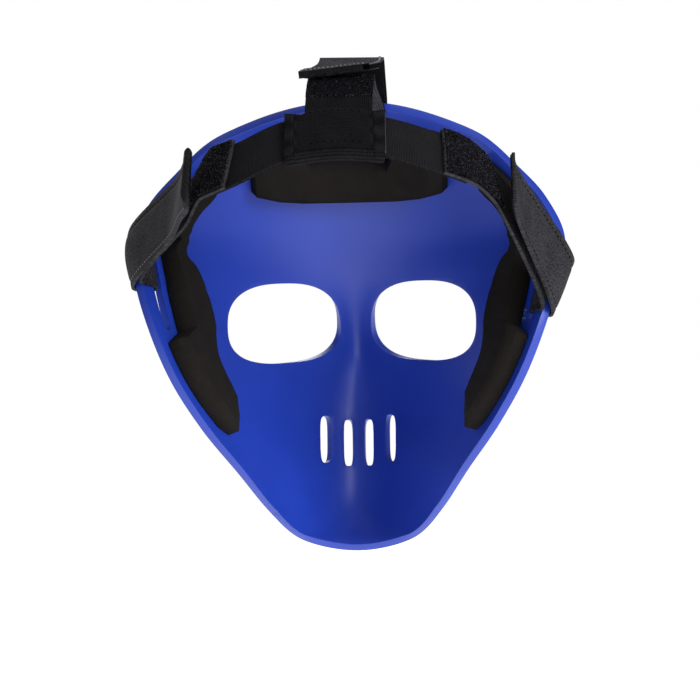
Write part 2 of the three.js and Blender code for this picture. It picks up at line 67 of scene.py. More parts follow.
camera = bpy.data.objects.new("camera", bpy.data.cameras.new("camera"))
scene.collection.objects.link(camera)
scene.camera = camera
back = Vector((
    math.sin(CAMERA_TURN) * math.cos(CAMERA_RISE),
    math.cos(CAMERA_TURN) * math.cos(CAMERA_RISE),
    math.sin(CAMERA_RISE),
))
camera.location = back * CAMERA_DISTANCE
camera.rotation_mode = "QUATERNION"
camera.rotation_quaternion = (-back).to_track_quat("-Z", "Y") @ Quaternion((0, 0, 1), CAMERA_ROLL)
camera.data.sensor_width = 36
camera.data.lens = camera.data.sensor_width * LENS_PIXELS / IMAGE_SIDE
camera.data.shift_x = (IMAGE_SIDE / 2 - ORIGIN_PIXEL[0]) / IMAGE_SIDE
camera.data.shift_y = (ORIGIN_PIXEL[1] - IMAGE_SIDE / 2) / IMAGE_SIDE
print(f"camera: {camera.data.lens:.0f} mm lens at {CAMERA_DISTANCE} m")

# %% [markdown]
# ## Nodes and colours
# Every finish is a small node tree. One helper adds a node, sets its values and joins its inputs,
# one function turns an sRGB hex colour into the linear light values that shaders work in, and two
# more blend a dark and a light tone, because no real surface is the same shade all over.


# %% Node helper and colours
def linear(hex_colour, alpha=1.0):
    channels = [int(hex_colour[i:i + 2], 16) / 255 for i in (1, 3, 5)]
    return (*(c / 12.92 if c <= 0.04045 else ((c + 0.055) / 1.055) ** 2.4 for c in channels), alpha)


def add_node(tree, kind, inputs=None, **settings):
    node = tree.nodes.new(kind)
    for name, value in settings.items():
        setattr(node, name, value)
    for name, value in (inputs or {}).items():
        if isinstance(value, bpy.types.NodeSocket):
            tree.links.new(value, node.inputs[name])
        else:
            node.inputs[name].default_value = value
    return node


def new_finish(name, **shader_values):
    material = bpy.data.materials.new(name)
    material.use_nodes = True
    tree = material.node_tree
    tree.nodes.clear()
    shader = add_node(tree, "ShaderNodeBsdfPrincipled", shader_values)
    add_node(tree, "ShaderNodeOutputMaterial", {"Surface": shader.outputs["BSDF"]})
    return material, tree, shader


def two_toned(tree, shader, part, dark, light):
    blend = add_node(tree, "ShaderNodeMix", {0: part}, data_type="RGBA", clamp_factor=True)
    blend.inputs["A"].default_value = linear(dark)
    blend.inputs["B"].default_value = linear(light)
    tree.links.new(blend.outputs["Result"], shader.inputs["Base Color"])


def clouded(tree, shader, place, size, detail, dark, light):
    clouds = add_node(tree, "ShaderNodeTexNoise", {"Vector": place, "Scale": 1 / size, "Detail": detail})
    two_toned(tree, shader, clouds.outputs["Fac"], dark, light)
    return clouds.outputs["Fac"]


# %% [markdown]
# ## Light and floor
# A white studio: an even pale surround, one large soft light from the right of the picture, a
# weaker one from the left and one above. The floor is a pale sheet well below the mask, which is
# held up where it is worn.

# %% Light and floor
scene.view_settings.view_transform = "Standard"
world = bpy.data.worlds.new("studio")
scene.world = world
world.use_nodes = True
world.node_tree.nodes.clear()
SURROUND_LIGHT = 0.16
is_seen = add_node(world.node_tree, "ShaderNodeLightPath").outputs["Is Camera Ray"]
strength = add_node(
    world.node_tree, "ShaderNodeMapRange", {"Value": is_seen, "To Min": SURROUND_LIGHT, "To Max": 1.0},
)
surround = add_node(
    world.node_tree, "ShaderNodeBackground",
    {"Color": (1, 1, 1, 1), "Strength": strength.outputs["Result"]},
)
add_node(world.node_tree, "ShaderNodeOutputWorld", {"Surface": surround.outputs["Background"]})

# name, place in metres, size in metres, watts
STUDIO_LIGHTS = [
    ("key", (-1.2, 1.2, 0.7), 0.9, 30),
    ("fill", (1.3, 1.1, 0.4), 0.9, 1.5),
    ("above", (0.0, -0.1, 1.5), 1.2, 4),
    ("front", (0.5, -1.5, 0.7), 1.0, 12),
]
for name, place, size, watts in STUDIO_LIGHTS:
    light = bpy.data.objects.new(name, bpy.data.lights.new(name, "AREA"))
    light.data.size = size
    light.data.energy = watts
    light.location = place
    light.rotation_mode = "QUATERNION"
    light.rotation_quaternion = (-Vector(place)).to_track_quat("-Z", "Y")
    light.visible_camera = False
    scene.collection.objects.link(light)

FLOOR_DROP, FLOOR_GLOW = 0.34, 0.85
floor_mesh = bpy.data.meshes.new("floor")
bm = bmesh.new()
bmesh.ops.create_grid(bm, x_segments=8, y_segments=8, size=4)
bmesh.ops.translate(bm, vec=(0, 0, -FLOOR_DROP), verts=bm.verts)
bm.to_mesh(floor_mesh)
bm.free()
floor = bpy.data.objects.new("floor", floor_mesh)
scene.collection.objects.link(floor)
floor_finish, tree, shader = new_finish("pale_paper_floor", Roughness=0.9)
shader.inputs["Base Color"].default_value = linear("#f8f8f8")
shader.inputs["Emission Color"].default_value = (1, 1, 1, 1)
shader.inputs["Emission Strength"].default_value = FLOOR_GLOW
floor_mesh.materials.append(floor_finish)
print(f"{len(STUDIO_LIGHTS)} soft lights over a floor {FLOOR_DROP} m below")

# %% [markdown]
# ## Finish: moulded polyethylene
# The shell is blue polyethylene, injection moulded in a lightly sparked tool. It is satin: soft
# highlights, a very fine orange-peel skin and faint flow clouds in the colour. The skin's grit of
# 0.4 mm is drawn as 0.6 mm, the least that shows at this picture's size.

# %% Moulded polyethylene
polyethylene, tree, shader = new_finish("moulded_polyethylene", Roughness=0.4, IOR=1.51)
place = add_node(tree, "ShaderNodeTexCoord").outputs["Object"]
FLOW_CLOUDS, SKIN_GRIT = 35 * MM, 0.6 * MM
clouds = clouded(tree, shader, place, FLOW_CLOUDS, 3, "#17329c", "#1f3fae")
grit = add_node(tree, "ShaderNodeTexNoise", {"Vector": place, "Scale": 1 / SKIN_GRIT, "Detail": 2})
gloss = add_node(tree, "ShaderNodeMapRange", {"Value": clouds, "To Min": 0.34, "To Max": 0.46})
skin = add_node(
    tree, "ShaderNodeBump", {"Height": grit.outputs["Fac"], "Strength": 0.12, "Distance": 0.1 * MM},
)
tree.links.new(gloss.outputs["Result"], shader.inputs["Roughness"])
tree.links.new(skin.outputs["Normal"], shader.inputs["Normal"])
print("finish:", polyethylene.name)

# %% [markdown]
# ## Finish: closed-cell foam
# The pads are die-cut EVA foam, nearly black with a brown cast. The cut opens cells of about
# 0.5 mm, which take the light unevenly and leave no gloss. Cells are drawn 0.9 mm wide to show.

# %% Closed-cell foam
foam, tree, shader = new_finish("closed_cell_eva_foam", Roughness=0.95, IOR=1.45)
shader.inputs["Specular IOR Level"].default_value = 0.12
place = add_node(tree, "ShaderNodeTexCoord").outputs["Object"]
FOAM_CELL, FOAM_MOTTLE = 0.9 * MM, 9 * MM
cells = add_node(tree, "ShaderNodeTexVoronoi", {"Vector": place, "Scale": 1 / FOAM_CELL})
clouded(tree, shader, place, FOAM_MOTTLE, 4, "#141211", "#211e1c")
pores = add_node(
    tree, "ShaderNodeBump", {"Height": cells.outputs["Distance"], "Strength": 0.5, "Distance": 0.25 * MM},
)
tree.links.new(pores.outputs["Normal"], shader.inputs["Normal"])
print("finish:", foam.name)

# %% [markdown]
# ## Finish: woven tapes
# The straps, the band and the sleeve are dull black polyester. A weave could be modelled thread
# by thread, but at this size it is a surface pattern: ribs along and across on the piece's own UV
# map, which is laid out in metres along and across the tape, and broken up by loose fibres. The
# ribs' weights tell the tapes apart: the elastic is ribbed across its width, the sleeve along it,
# the tab cloth has a fine even grain and the pile is all fibre. Pitches of about 0.6 mm are drawn
# near 1 mm, so that they show in the picture.


# %% Woven tape finishes
WEAR_PATCH = 11 * MM


def woven_finish(name, dark, light, along, across, grain, relief, roughness, specular):
    material, tree, shader = new_finish(name, Roughness=roughness)
    shader.inputs["Specular IOR Level"].default_value = specular
    place = add_node(tree, "ShaderNodeUVMap", uv_map="UVMap").outputs["UV"]
    split = add_node(tree, "ShaderNodeSeparateXYZ", {"Vector": place})
    fibre = add_node(
        tree, "ShaderNodeTexNoise", {"Vector": place, "Scale": 1 / (grain[0] * MM), "Detail": 2},
    )
    wear = add_node(tree, "ShaderNodeTexNoise", {"Vector": place, "Scale": 1 / WEAR_PATCH, "Detail": 3})
    loose = add_node(
        tree, "ShaderNodeMapRange",
        {"Value": fibre.outputs["Fac"], "From Min": 0.35, "From Max": 0.65,
         "To Min": -grain[1], "To Max": grain[1]},
        clamp=False,
    )
    weave = loose.outputs["Result"]
    for axis, (pitch, weight) in (("X", along), ("Y", across)):
        turns = add_node(
            tree, "ShaderNodeMath", {0: split.outputs[axis], 1: 2 * math.pi / (pitch * MM)},
            operation="MULTIPLY",
        )
        wave = add_node(tree, "ShaderNodeMath", {0: turns.outputs[0]}, operation="SINE")
        weave = add_node(
            tree, "ShaderNodeMath", {0: wave.outputs[0], 1: weight, 2: weave}, operation="MULTIPLY_ADD",
        ).outputs[0]
    tone = add_node(tree, "ShaderNodeMath", {0: weave, 1: wear.outputs["Fac"]}, operation="ADD")
    two_toned(tree, shader, tone.outputs[0], dark, light)
    bump = add_node(
        tree, "ShaderNodeBump", {"Height": weave, "Strength": 0.6, "Distance": relief * MM},
    )
    tree.links.new(bump.outputs["Normal"], shader.inputs["Normal"])
    return material


# dark and light, then ribs along, ribs across and fibre grain as a size in mm and a weight, then
# relief in mm, roughness and gloss
WOVEN_FINISHES = {
    "polyester_webbing": ("#08080a", "#1c1b1e", (1.1, 0.15), (1.0, 0.45), (0.7, 0.3), 0.2, 0.8, 0.05),
    # a lighter copy of the webbing for the top strap's other face, which lies on top of the folded end:
    # painted light from above
    "polyester_webbing_painted_top_light": ("#29292c", "#58585e", (1.1, 0.4), (1.3, 0.3), (0.9, 0.3), 0.2, 0.75, 0.1),
    "coated_tab_cloth": ("#0c0b0d", "#38373c", (1.1, 0.1), (1.1, 0.1), (0.8, 0.5), 0.16, 0.72, 0.12),
    "ribbed_elastic": ("#09090a", "#1e1d20", (1.1, 0.5), (0.7, 0.1), (0.7, 0.3), 0.2, 0.85, 0.06),
    "nylon_loop_pile": ("#020203", "#1d1c21", (1.3, 0.1), (0.9, 0.1), (1.1, 0.9), 0.5, 0.95, 0.03),
    "nylon_hook_tape": ("#070708", "#19191c", (1.2, 0.3), (1.4, 0.4), (0.7, 0.2), 0.15, 0.5, 0.12),
    "undyed_thread": ("#5c5b60", "#86858a", (0.6, 0.3), (0.6, 0.1), (0.5, 0.2), 0.1, 0.6, 0.2),
    # black thread drawn darker and duller than the black cloth, so seams read as dark dashes: painted shade
    # of the stitch holes
    "black_thread_and_painted_shade": ("#020202", "#070708", (0.6, 0.3), (0.6, 0.1), (0.5, 0.2), 0.1, 0.8, 0.02),
    "loose_nylon_fibres": ("#17161a", "#5c5b64", (1.0, 0.1), (1.0, 0.1), (0.6, 0.5), 0.1, 0.5, 0.3),
    # the cut-edge bead is a real melted bead, coloured lighter than the webbing: a painted highlight along
    # the edge
    "melted_polyester_painted_highlight": ("#232226", "#3e3d41", (1.0, 0.1), (1.0, 0.1), (0.6, 0.5), 0.1, 0.35, 0.4),
}
(
    webbing, webbing_painted_top_light, tab_cloth, ribbed_elastic, loop_pile, hook_tape,
    pale_thread, black_thread_and_painted_shade, loose_nylon, melted_edge_painted_highlight,
) = (woven_finish(name, *values) for name, values in WOVEN_FINISHES.items())
dried_glue, tree, shader = new_finish("dried_contact_glue", Roughness=0.35)
GLUE_CRUST = 0.5 * MM
place = add_node(tree, "ShaderNodeTexCoord").outputs["Object"]
clouded(tree, shader, place, GLUE_CRUST, 2, "#7c859c", "#a2a8ba")
print("finishes: woven tapes, pile, hooks, threads and loose fibres")

# %% [markdown]
# ## Making a piece
# A piece starts as a flat bmesh grid whose vertices are moved to their places, so that its faces,
# its UV map and its edges are all in order. Modifiers then give it thickness and round its edges.


# %% Grid pieces
def grid_mesh(rows, columns, place, uv_place, bulk=None):
    bm = bmesh.new()
    uv_layer = bm.loops.layers.uv.new("UVMap")
    weight_layer = bm.verts.layers.deform.verify() if bulk else None
    bmesh.ops.create_grid(bm, x_segments=rows - 1, y_segments=columns - 1, size=1)
    where = {}
    for vert in bm.verts:
        row = round((vert.co.x + 1) / 2 * (rows - 1))
        column = round((vert.co.y + 1) / 2 * (columns - 1))
        where[vert] = (row, column)
    for face in bm.faces:
        for loop in face.loops:
            loop[uv_layer].uv = [value * MM for value in uv_place(*where[loop.vert])]
    for vert, (row, column) in where.items():
        vert.co = place(row, column) * MM
        if bulk:
            vert[weight_layer][0] = bulk(row, column)
    return bm


def finish_piece(name, bm, material, node=None):
    mesh = bpy.data.meshes.new(name)
    bm.to_mesh(mesh)
    bm.free()
    mesh.polygons.foreach_set("use_smooth", [True] * len(mesh.polygons))
    mesh.materials.append(material)
    piece = bpy.data.objects.new(name, mesh)
    scene.collection.objects.link(piece)
    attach(piece, "root")
    if node:
        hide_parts(node)
    return piece


SHARP_EDGE = math.radians(50)


def thicken(piece, thickness, offset, edge, edge_steps=2, varies=False, back=None):
    wall = piece.modifiers.new("wall", "SOLIDIFY")
    wall.thickness = thickness * MM
    wall.offset = offset
    if back:
        piece.data.materials.append(back)
        wall.material_offset = 1
    if varies:
        wall.vertex_group = piece.vertex_groups.new(name="bulk").name
    rounding = piece.modifiers.new("rounding", "BEVEL")
    rounding.width = edge * MM
    rounding.segments = edge_steps
    rounding.limit_method = "ANGLE"
    rounding.angle_limit = SHARP_EDGE


# %% [markdown]
# ## Shell: the surface
# The shell is one moulded piece, bowed round the face. Its level sections are parabolas from rim
# to rim, so three numbers a level give the whole outer skin: half the width, and where the rim and
# the middle of the face lie. A smooth curve runs through each column of the table.

# %% Shell surface
SHELL_WALL, SHELL_EDGE = 4.0, 1.3
UPPER_CORNER, LOWER_CORNER = 108.0, -80.0
NOSE_HEIGHT, NOSE_Z, NOSE_HALF_WIDTH, NOSE_HALF_HEIGHT = 8.0, 2.0, 13.0, 26.0
# level, half width, rim from front to back, middle of the face from front to back
SHELL_SECTIONS = [
    (-104, 0, -99, -99), (-95, 31, -88, -113), (-80, 43.5, -72, -124), (-56, 58, -47, -132),
    (-32, 73.5, -28, -137), (-8, 86.5, -18, -135), (15, 96, -19, -127), (38, 103.5, -28, -119),
    (58, 107, -38, -115), (78, 98, -47, -108), (94, 83.8, -54, -99), (108, 68.5, -59, -89),
    (118, 47, -63, -79), (127, 0, -66, -66),
]
SECTIONS = [(z, half * half, rim, front) for z, half, rim, front in SHELL_SECTIONS]
CHIN, BROW = SECTIONS[0][0], SECTIONS[-1][0]


def table_value(rows, column, at):
    last = len(rows) - 1
    k = max(0, min(last - 1, sum(row[0] <= at for row in rows) - 1))

    def slope(i):
        before, after = rows[max(i - 1, 0)], rows[min(i + 1, last)]
        return (after[column] - before[column]) / (after[0] - before[0])

    span = rows[k + 1][0] - rows[k][0]
    t = (at - rows[k][0]) / span
    rise = (rows[k + 1][column] - rows[k][column]) * t * t * (3 - 2 * t)
    bend = t * (1 - t) * span * ((1 - t) * slope(k) - t * slope(k + 1))
    return rows[k][column] + rise + bend


def width_squared(z):
    return max(table_value(SECTIONS, 1, z), 0.01)


def surface_y(x, z):
    rim, front = table_value(SECTIONS, 2, z), table_value(SECTIONS, 3, z)
    nose = math.exp(-(x / NOSE_HALF_WIDTH) ** 2 - ((z - NOSE_Z) / NOSE_HALF_HEIGHT) ** 2)
    return front + (rim - front) * x * x / width_squared(z) - NOSE_HEIGHT * nose


def on_surface(x, z):
    return Vector((x, surface_y(x, z), z))


SLOPE_STEP, HALVINGS = 0.5, 40


def surface_normal(x, z):
    inward = -SLOPE_STEP if z > (BROW + CHIN) / 2 else SLOPE_STEP
    across = (surface_y(x + SLOPE_STEP, z) - surface_y(x - SLOPE_STEP, z)) / (2 * SLOPE_STEP)
    upward = (surface_y(x, z + inward) - surface_y(x, z)) / inward
    return Vector((across, -1, upward)).normalized()


def off_surface(x, z, height):
    return on_surface(x, z) + surface_normal(x, z) * height


def last_inside(inside, outside, holds):
    for _ in range(HALVINGS):
        middle = (inside + outside) / 2
        if holds(middle):
            inside = middle
        else:
            outside = middle
    return inside


def arc_height(x, corner, end):
    return last_inside(corner, end, lambda z: width_squared(z) > x * x)


print(f"shell: {BROW - CHIN} mm from brow to chin")

# %% [markdown]
# ## Shell: rim and openings
# The rim is followed by one number, 0 at the brow and 1 at the chin, with the wearer's right side
# negative. Slots run beside it. Eye openings, vents and slots are all outlines in the front view.
# A Boolean could cut them, but it leaves slivers that spoil a rounded edge. Here the grid's faces
# are deleted a little beyond the outline and the open edge is extruded back to it, so a clean
# band of faces lies along every opening for the bevel to round.


# %% Rim and outlines
RIM_STEP = 0.005


def rim_point(t):
    z = BROW - (BROW - CHIN) * (1 - math.cos(math.pi * t)) / 2
    return Vector((math.copysign(math.sqrt(width_squared(z)), t), table_value(SECTIONS, 2, z), z))


def rim_position(z):
    return math.acos(1 - 2 * (BROW - z) / (BROW - CHIN)) / math.pi


def rim_chord(t):
    return rim_point(t + RIM_STEP) - rim_point(t - RIM_STEP)


def rim_shift(t, distance):
    return t + distance * 2 * RIM_STEP / rim_chord(t).length


def rim_offset(t, inset, height):
    rim = rim_point(t)
    normal = surface_normal(rim.x, rim.z)
    outward = normal.cross(rim_chord(t).normalized()).normalized()
    if outward.y < 0:
        outward.negate()
    flat = rim - outward * inset
    if inset <= 0:
        return flat + normal * height
    return off_surface(flat.x, flat.z, height)


def distances_along(points):
    ways = [0.0]
    for a, b in zip(points, points[1:]):
        ways.append(ways[-1] + (b - a).length)
    return ways


def round_outline(x, z, half_width, half_height, squareness, points):
    fine = []
    for i in range(8 * points + 1):
        turn = math.pi * i / (4 * points)
        sides = [math.copysign(abs(f(turn)) ** (2 / squareness), f(turn)) for f in (math.cos, math.sin)]
        fine.append(Vector((x + half_width * sides[0], z + half_height * sides[1])))
    ways = distances_along(fine)
    return [fine[bisect.bisect_left(ways, ways[-1] * i / points)] for i in range(points)]


def rounded_bar(way, straight, radius):
    half_way = straight + math.pi * radius
    returning = way >= half_way
    ahead = way - half_way if returning else way
    if ahead < straight:
        along, aside = ahead - straight / 2, radius
    else:
        turn = (ahead - straight) / radius
        along, aside = straight / 2 + radius * math.sin(turn), radius * math.cos(turn)
    return (-along, -aside) if returning else (along, aside)


SLOT_BAR, SLOT_WIDTH = 9.0, 6.0


def slot_outline(middle, length, points):
    half, straight = SLOT_WIDTH / 2, length - SLOT_WIDTH
    outline = []
    for i in range(points):
        along, aside = rounded_bar(2 * (straight + math.pi * half) * i / points, straight, half)
        point = rim_offset(rim_shift(middle, along), SLOT_BAR + half - aside, 0)
        outline.append(Vector((point.x, point.z)))
    return outline


EYE_X, EYE_Z, EYE_HALF_WIDTH, EYE_HALF_HEIGHT, EYE_SQUARENESS = 38, 14, 28, 21, 2.6
VENT_HALF_WIDTH, VENT_HALF_HEIGHT, VENT_SQUARENESS, VENT_PITCH, VENT_Z, VENT_DROP = 3, 12, 4, 13, -52, 3
SIDE_SLOT_Z, SIDE_SLOT_LENGTH, TOP_SLOT_LENGTH = 42, 58, 46
SHORT_OUTLINE, LONG_OUTLINE = 120, 160
outlines = [slot_outline(rim_position(BROW), TOP_SLOT_LENGTH, SHORT_OUTLINE)]
for side in (-1, 1):
    outlines.append(round_outline(
        side * EYE_X, EYE_Z, EYE_HALF_WIDTH, EYE_HALF_HEIGHT, EYE_SQUARENESS, LONG_OUTLINE))
    for k in (0, 1):
        x, z = side * (k + 0.5) * VENT_PITCH, VENT_Z + k * VENT_DROP
        outlines.append(
            round_outline(x, z, VENT_HALF_WIDTH, VENT_HALF_HEIGHT, VENT_SQUARENESS, SHORT_OUTLINE))
    outlines.append(slot_outline(side * rim_position(SIDE_SLOT_Z), SIDE_SLOT_LENGTH, LONG_OUTLINE))
print(f"shell: {len(outlines)} openings")


# %% Shell grid
SHELL_COLUMNS, SHELL_ROWS, RIM_CROWDING = 121, 115, 0.25
upper_half, lower_half = (math.sqrt(width_squared(z)) for z in (UPPER_CORNER, LOWER_CORNER))
column_parts = [2 * j / (SHELL_COLUMNS - 1) - 1 for j in range(SHELL_COLUMNS)]
column_parts = [s * (1 + RIM_CROWDING - RIM_CROWDING * s * s) for s in column_parts]
chin_bows = [arc_height(u * lower_half, LOWER_CORNER, CHIN) - LOWER_CORNER for u in column_parts]
brow_bows = [arc_height(u * upper_half, UPPER_CORNER, BROW) - UPPER_CORNER for u in column_parts]
side_levels = [
    LOWER_CORNER + (UPPER_CORNER - LOWER_CORNER) * i / (SHELL_ROWS - 1) for i in range(SHELL_ROWS)
]
half_widths = [math.sqrt(width_squared(z)) for z in side_levels]


def shell_place(row, column):
    v = row / (SHELL_ROWS - 1)
    z = side_levels[row] + (1 - v) * chin_bows[column] + v * brow_bows[column]
    return on_surface(column_parts[column] * half_widths[row], z)


shell_bm = grid_mesh(SHELL_ROWS, SHELL_COLUMNS, shell_place, lambda row, column: (row, column))
EDGE_BAND, OUTLINE_MARGIN, RING_SMOOTHING = 1.7, Vector((4, 4)), 60


def nearest_on(outline, point):
    return min(range(len(outline)), key=lambda i: (outline[i] - point).length_squared)


def is_inside(outline, point):
    inside = False
    for a, b in zip(outline, outline[1:] + outline[:1]):
        if (a.y > point.y) != (b.y > point.y):
            if point.x < a.x + (b.x - a.x) * (point.y - a.y) / (b.y - a.y):
                inside = not inside
    return inside


def open_outline(bm, outline):
    low = Vector((min(p.x for p in outline), min(p.y for p in outline))) - OUTLINE_MARGIN
    high = Vector((max(p.x for p in outline), max(p.y for p in outline))) + OUTLINE_MARGIN
    near = set()
    for vert in bm.verts:
        flat = Vector((vert.co.x, vert.co.z)) / MM
        if low.x < flat.x < high.x and low.y < flat.y < high.y:
            nearest = outline[nearest_on(outline, flat)]
            gap = (on_surface(*nearest) - vert.co / MM).length
            if gap < EDGE_BAND or is_inside(outline, flat):
                near.add(vert)
    doomed = {face for vert in near for face in vert.link_faces}
    edges = {edge for face in doomed for edge in face.edges}
    bmesh.ops.delete(bm, geom=list(doomed), context="FACES")
    border = [edge for edge in edges if edge.is_valid and edge.is_boundary]
    made = bmesh.ops.extrude_edge_only(bm, edges=border)["geom"]
    ring = {element for element in made if isinstance(element, bmesh.types.BMVert)}
    loop = [next(iter(ring))]
    while True:
        ahead = [edge.other_vert(loop[-1]) for edge in loop[-1].link_edges]
        ahead = [vert for vert in ahead if vert in ring and vert not in loop]
        if not ahead:
            break
        loop.append(ahead[0])
    return loop


def settle_ring(loop, outline):
    count, size = len(loop), len(outline)
    places = [nearest_on(outline, Vector((v.co.x, v.co.z)) / MM) for v in loop]
    unrolled = [places[0]]
    for place in places[1:]:
        step = (place - unrolled[-1] + size / 2) % size - size / 2
        unrolled.append(unrolled[-1] + step)
    turn = size if unrolled[-1] > unrolled[0] else -size
    for _ in range(RING_SMOOTHING):
        ahead = unrolled[1:] + [unrolled[0] + turn]
        behind = [unrolled[-1] - turn] + unrolled[:-1]
        unrolled = [0.5 * u + 0.25 * (a + b) for u, a, b in zip(unrolled, ahead, behind)]
    for vert, place in zip(loop, unrolled):
        first, part = math.floor(place), place - math.floor(place)
        flat = outline[first % size].lerp(outline[(first + 1) % size], part)
        vert.co = on_surface(flat.x, flat.y) * MM


rings = []
for outline in outlines:
    loop = open_outline(shell_bm, outline)
    settle_ring(loop, outline)
    rings.append(len(loop))
loose = [vert for vert in shell_bm.verts if not vert.link_faces]
bmesh.ops.delete(shell_bm, geom=loose, context="VERTS")
bmesh.ops.recalc_face_normals(shell_bm, faces=shell_bm.faces)
shell_bm.faces.ensure_lookup_table()
middle_face = min(shell_bm.faces, key=lambda face: face.calc_center_median().y)
if middle_face.normal.y > 0:
    bmesh.ops.reverse_faces(shell_bm, faces=shell_bm.faces)
shell = finish_piece("moulded_shell", shell_bm, polyethylene, "shell")
thicken(shell, SHELL_WALL, -1, SHELL_EDGE, edge_steps=3)
print(f"shell: openings of {rings} points")

# %% [markdown]
# ## Foam pads
# Die-cut foam is glued inside the brow and the cheeks, and the cheek pads are notched round the
# strap slots. A cushion would be blown up by a simulation, but cut foam keeps its block form: a
# grid on the shell's inner face gets its thickness from a modifier, thinner at the pressed edge.

# %% Foam pads
SEAT_GAP = 0.3
PAD_SEAT = -SHELL_WALL - SEAT_GAP
PAD_THICKNESS, PAD_EDGE, PAD_ROUNDING = 10.0, 0.62, 1.2
# level, rear inset from the rim, front inset
SIDE_PAD_ROWS = [
    (104, 7, 17), (94, 6, 21), (84, 6, 24), (76, 6, 26), (72, 19, 29), (55, 19, 34), (45, 19, 38),
    (35, 19, 42), (14, 19, 45), (9, 6, 45), (-8, 6, 42), (-24, 6, 36), (-38, 7, 29), (-45, 10, 22),
]
# distance from the middle, lower edge, upper edge
BROW_PAD_ROWS = [(0, 80, 101), (22, 80, 101), (27, 80, 114), (40, 81, 110), (52, 84, 105)]


def fine_rows(rows, step):
    fine = []
    for a, b in zip(rows, rows[1:]):
        count = max(2, round(abs(b[0] - a[0]) / step))
        for i in range(count):
            fine.append([p + (q - p) * i / count for p, q in zip(a, b)])
    return fine + [list(rows[-1])]


PAD_COLUMNS, PAD_ROW_STEP = 17, 3


def foam_pad(name, node, rows, place, facing):
    def bulk(row, column):
        inset = min(row, len(rows) - 1 - row, column, PAD_COLUMNS - 1 - column)
        return 1.0 if inset > 1 else PAD_EDGE + (1 - PAD_EDGE) * inset / 2

    bm = grid_mesh(
        len(rows), PAD_COLUMNS, lambda i, j: place(rows[i], j / (PAD_COLUMNS - 1)),
        lambda i, j: (2 * i, 2 * j), bulk,
    )
    piece = finish_piece(name, bm, foam, node)
    thicken(piece, PAD_THICKNESS, facing, PAD_ROUNDING, edge_steps=3, varies=True)
    return piece


side_rows = fine_rows(SIDE_PAD_ROWS, PAD_ROW_STEP)
for name, side in (("left", 1), ("right", -1)):
    def cheek_place(row, part):
        return rim_offset(side * rim_position(row[0]), row[1] + (row[2] - row[1]) * part, PAD_SEAT)

    foam_pad(f"cheek_foam_{name}", f"side_pad_{name}", side_rows, cheek_place, side)
brow_rows = [(-x, low, high) for x, low, high in reversed(BROW_PAD_ROWS[1:])] + BROW_PAD_ROWS


def brow_place(row, part):
    z = row[1] + (row[2] - row[1]) * part
    return off_surface(row[0], z, PAD_SEAT)


foam_pad("brow_foam", "forehead_pad", fine_rows(brow_rows, PAD_ROW_STEP), brow_place, -1)
print(f"foam: cheek pads of {len(side_rows)} rows and a brow pad")

# %% [markdown]
# ## Course of the band
# The straps close round a rounded hollow. The band's middle follows a table of heights by angle
# round the back, and at each angle it lies flat on the hollow: a point, the way out and the way
# down across the tape.

# %% Band course
HOLLOW_HALF_WIDTH, HOLLOW_RADIUS, HOLLOW_Z, HOLLOW_SQUARENESS = 76.0, 95.0, 40.0, 2.6
# angle round the back, left positive, and height of the band's middle
BAND_COURSE = [
    (-80, 80), (-58, 93), (-36, 100.5), (-18, 107), (0, 109.5), (18, 106), (36, 96.5), (56, 90), (80, 80),
]


def hollow_frame(angle, z, offset):
    turn = math.radians(angle)
    level = 1 - ((z - HOLLOW_Z) / HOLLOW_RADIUS) ** 2

    def is_within(reach):
        x, y = reach * math.sin(turn) / HOLLOW_HALF_WIDTH, reach * math.cos(turn) / HOLLOW_RADIUS
        return abs(x) ** HOLLOW_SQUARENESS + y * y < level

    reach = last_inside(0.0, 1.5 * HOLLOW_RADIUS, is_within)
    point = Vector((reach * math.sin(turn), reach * math.cos(turn), z))
    steep = abs(point.x / HOLLOW_HALF_WIDTH) ** (HOLLOW_SQUARENESS - 1)
    normal = Vector((
        math.copysign(HOLLOW_SQUARENESS * steep / HOLLOW_HALF_WIDTH, turn),
        2 * point.y / HOLLOW_RADIUS ** 2,
        2 * (z - HOLLOW_Z) / HOLLOW_RADIUS ** 2,
    )).normalized()
    return point + normal * offset, normal


def band_frame(angle, offset):
    def at(a):
        return hollow_frame(a, table_value(BAND_COURSE, 1, a), offset)

    point, normal = at(angle)
    down = (at(angle + 1)[0] - at(angle - 1)[0]).cross(normal).normalized()
    if down.z > 0:
        down.negate()
    return point, normal, down


print("band: from", *(round(v) for v in band_frame(0, 0)[0]), "mm at the back")

# %% [markdown]
# ## Ribbons
# A strap is a ribbon through a few stations. Each station gives a point across the width, so the
# ribbon can twist, fold over a bar and stand off at one corner. A smooth curve runs through the
# stations at every place across the width, and rows are spaced evenly along its middle.


# %% Ribbon helpers
CORNER_STEPS, STATION_SAMPLES = 6, 60


def curve_point(points, place):
    last = len(points) - 1
    k = min(int(place), last - 1)
    t = place - k
    p1, p2 = points[k], points[k + 1]
    p0 = points[k - 1] if k else p1 * 2 - p2
    p3 = points[k + 2] if k + 2 <= last else p2 * 2 - p1
    d0, d1, d2 = (max((b - a).length, 1e-6) ** 0.5 for a, b in ((p0, p1), (p1, p2), (p2, p3)))
    m1 = ((p1 - p0) / d0 - (p2 - p0) / (d0 + d1) + (p2 - p1) / d1) * d1
    m2 = ((p2 - p1) / d1 - (p3 - p1) / (d1 + d2) + (p3 - p2) / d2) * d1
    c2, c3 = (p2 - p1) * 3 - m1 * 2 - m2, (p1 - p2) * 2 + m1 + m2
    return p1 + m1 * t + c2 * t * t + c3 * t * t * t


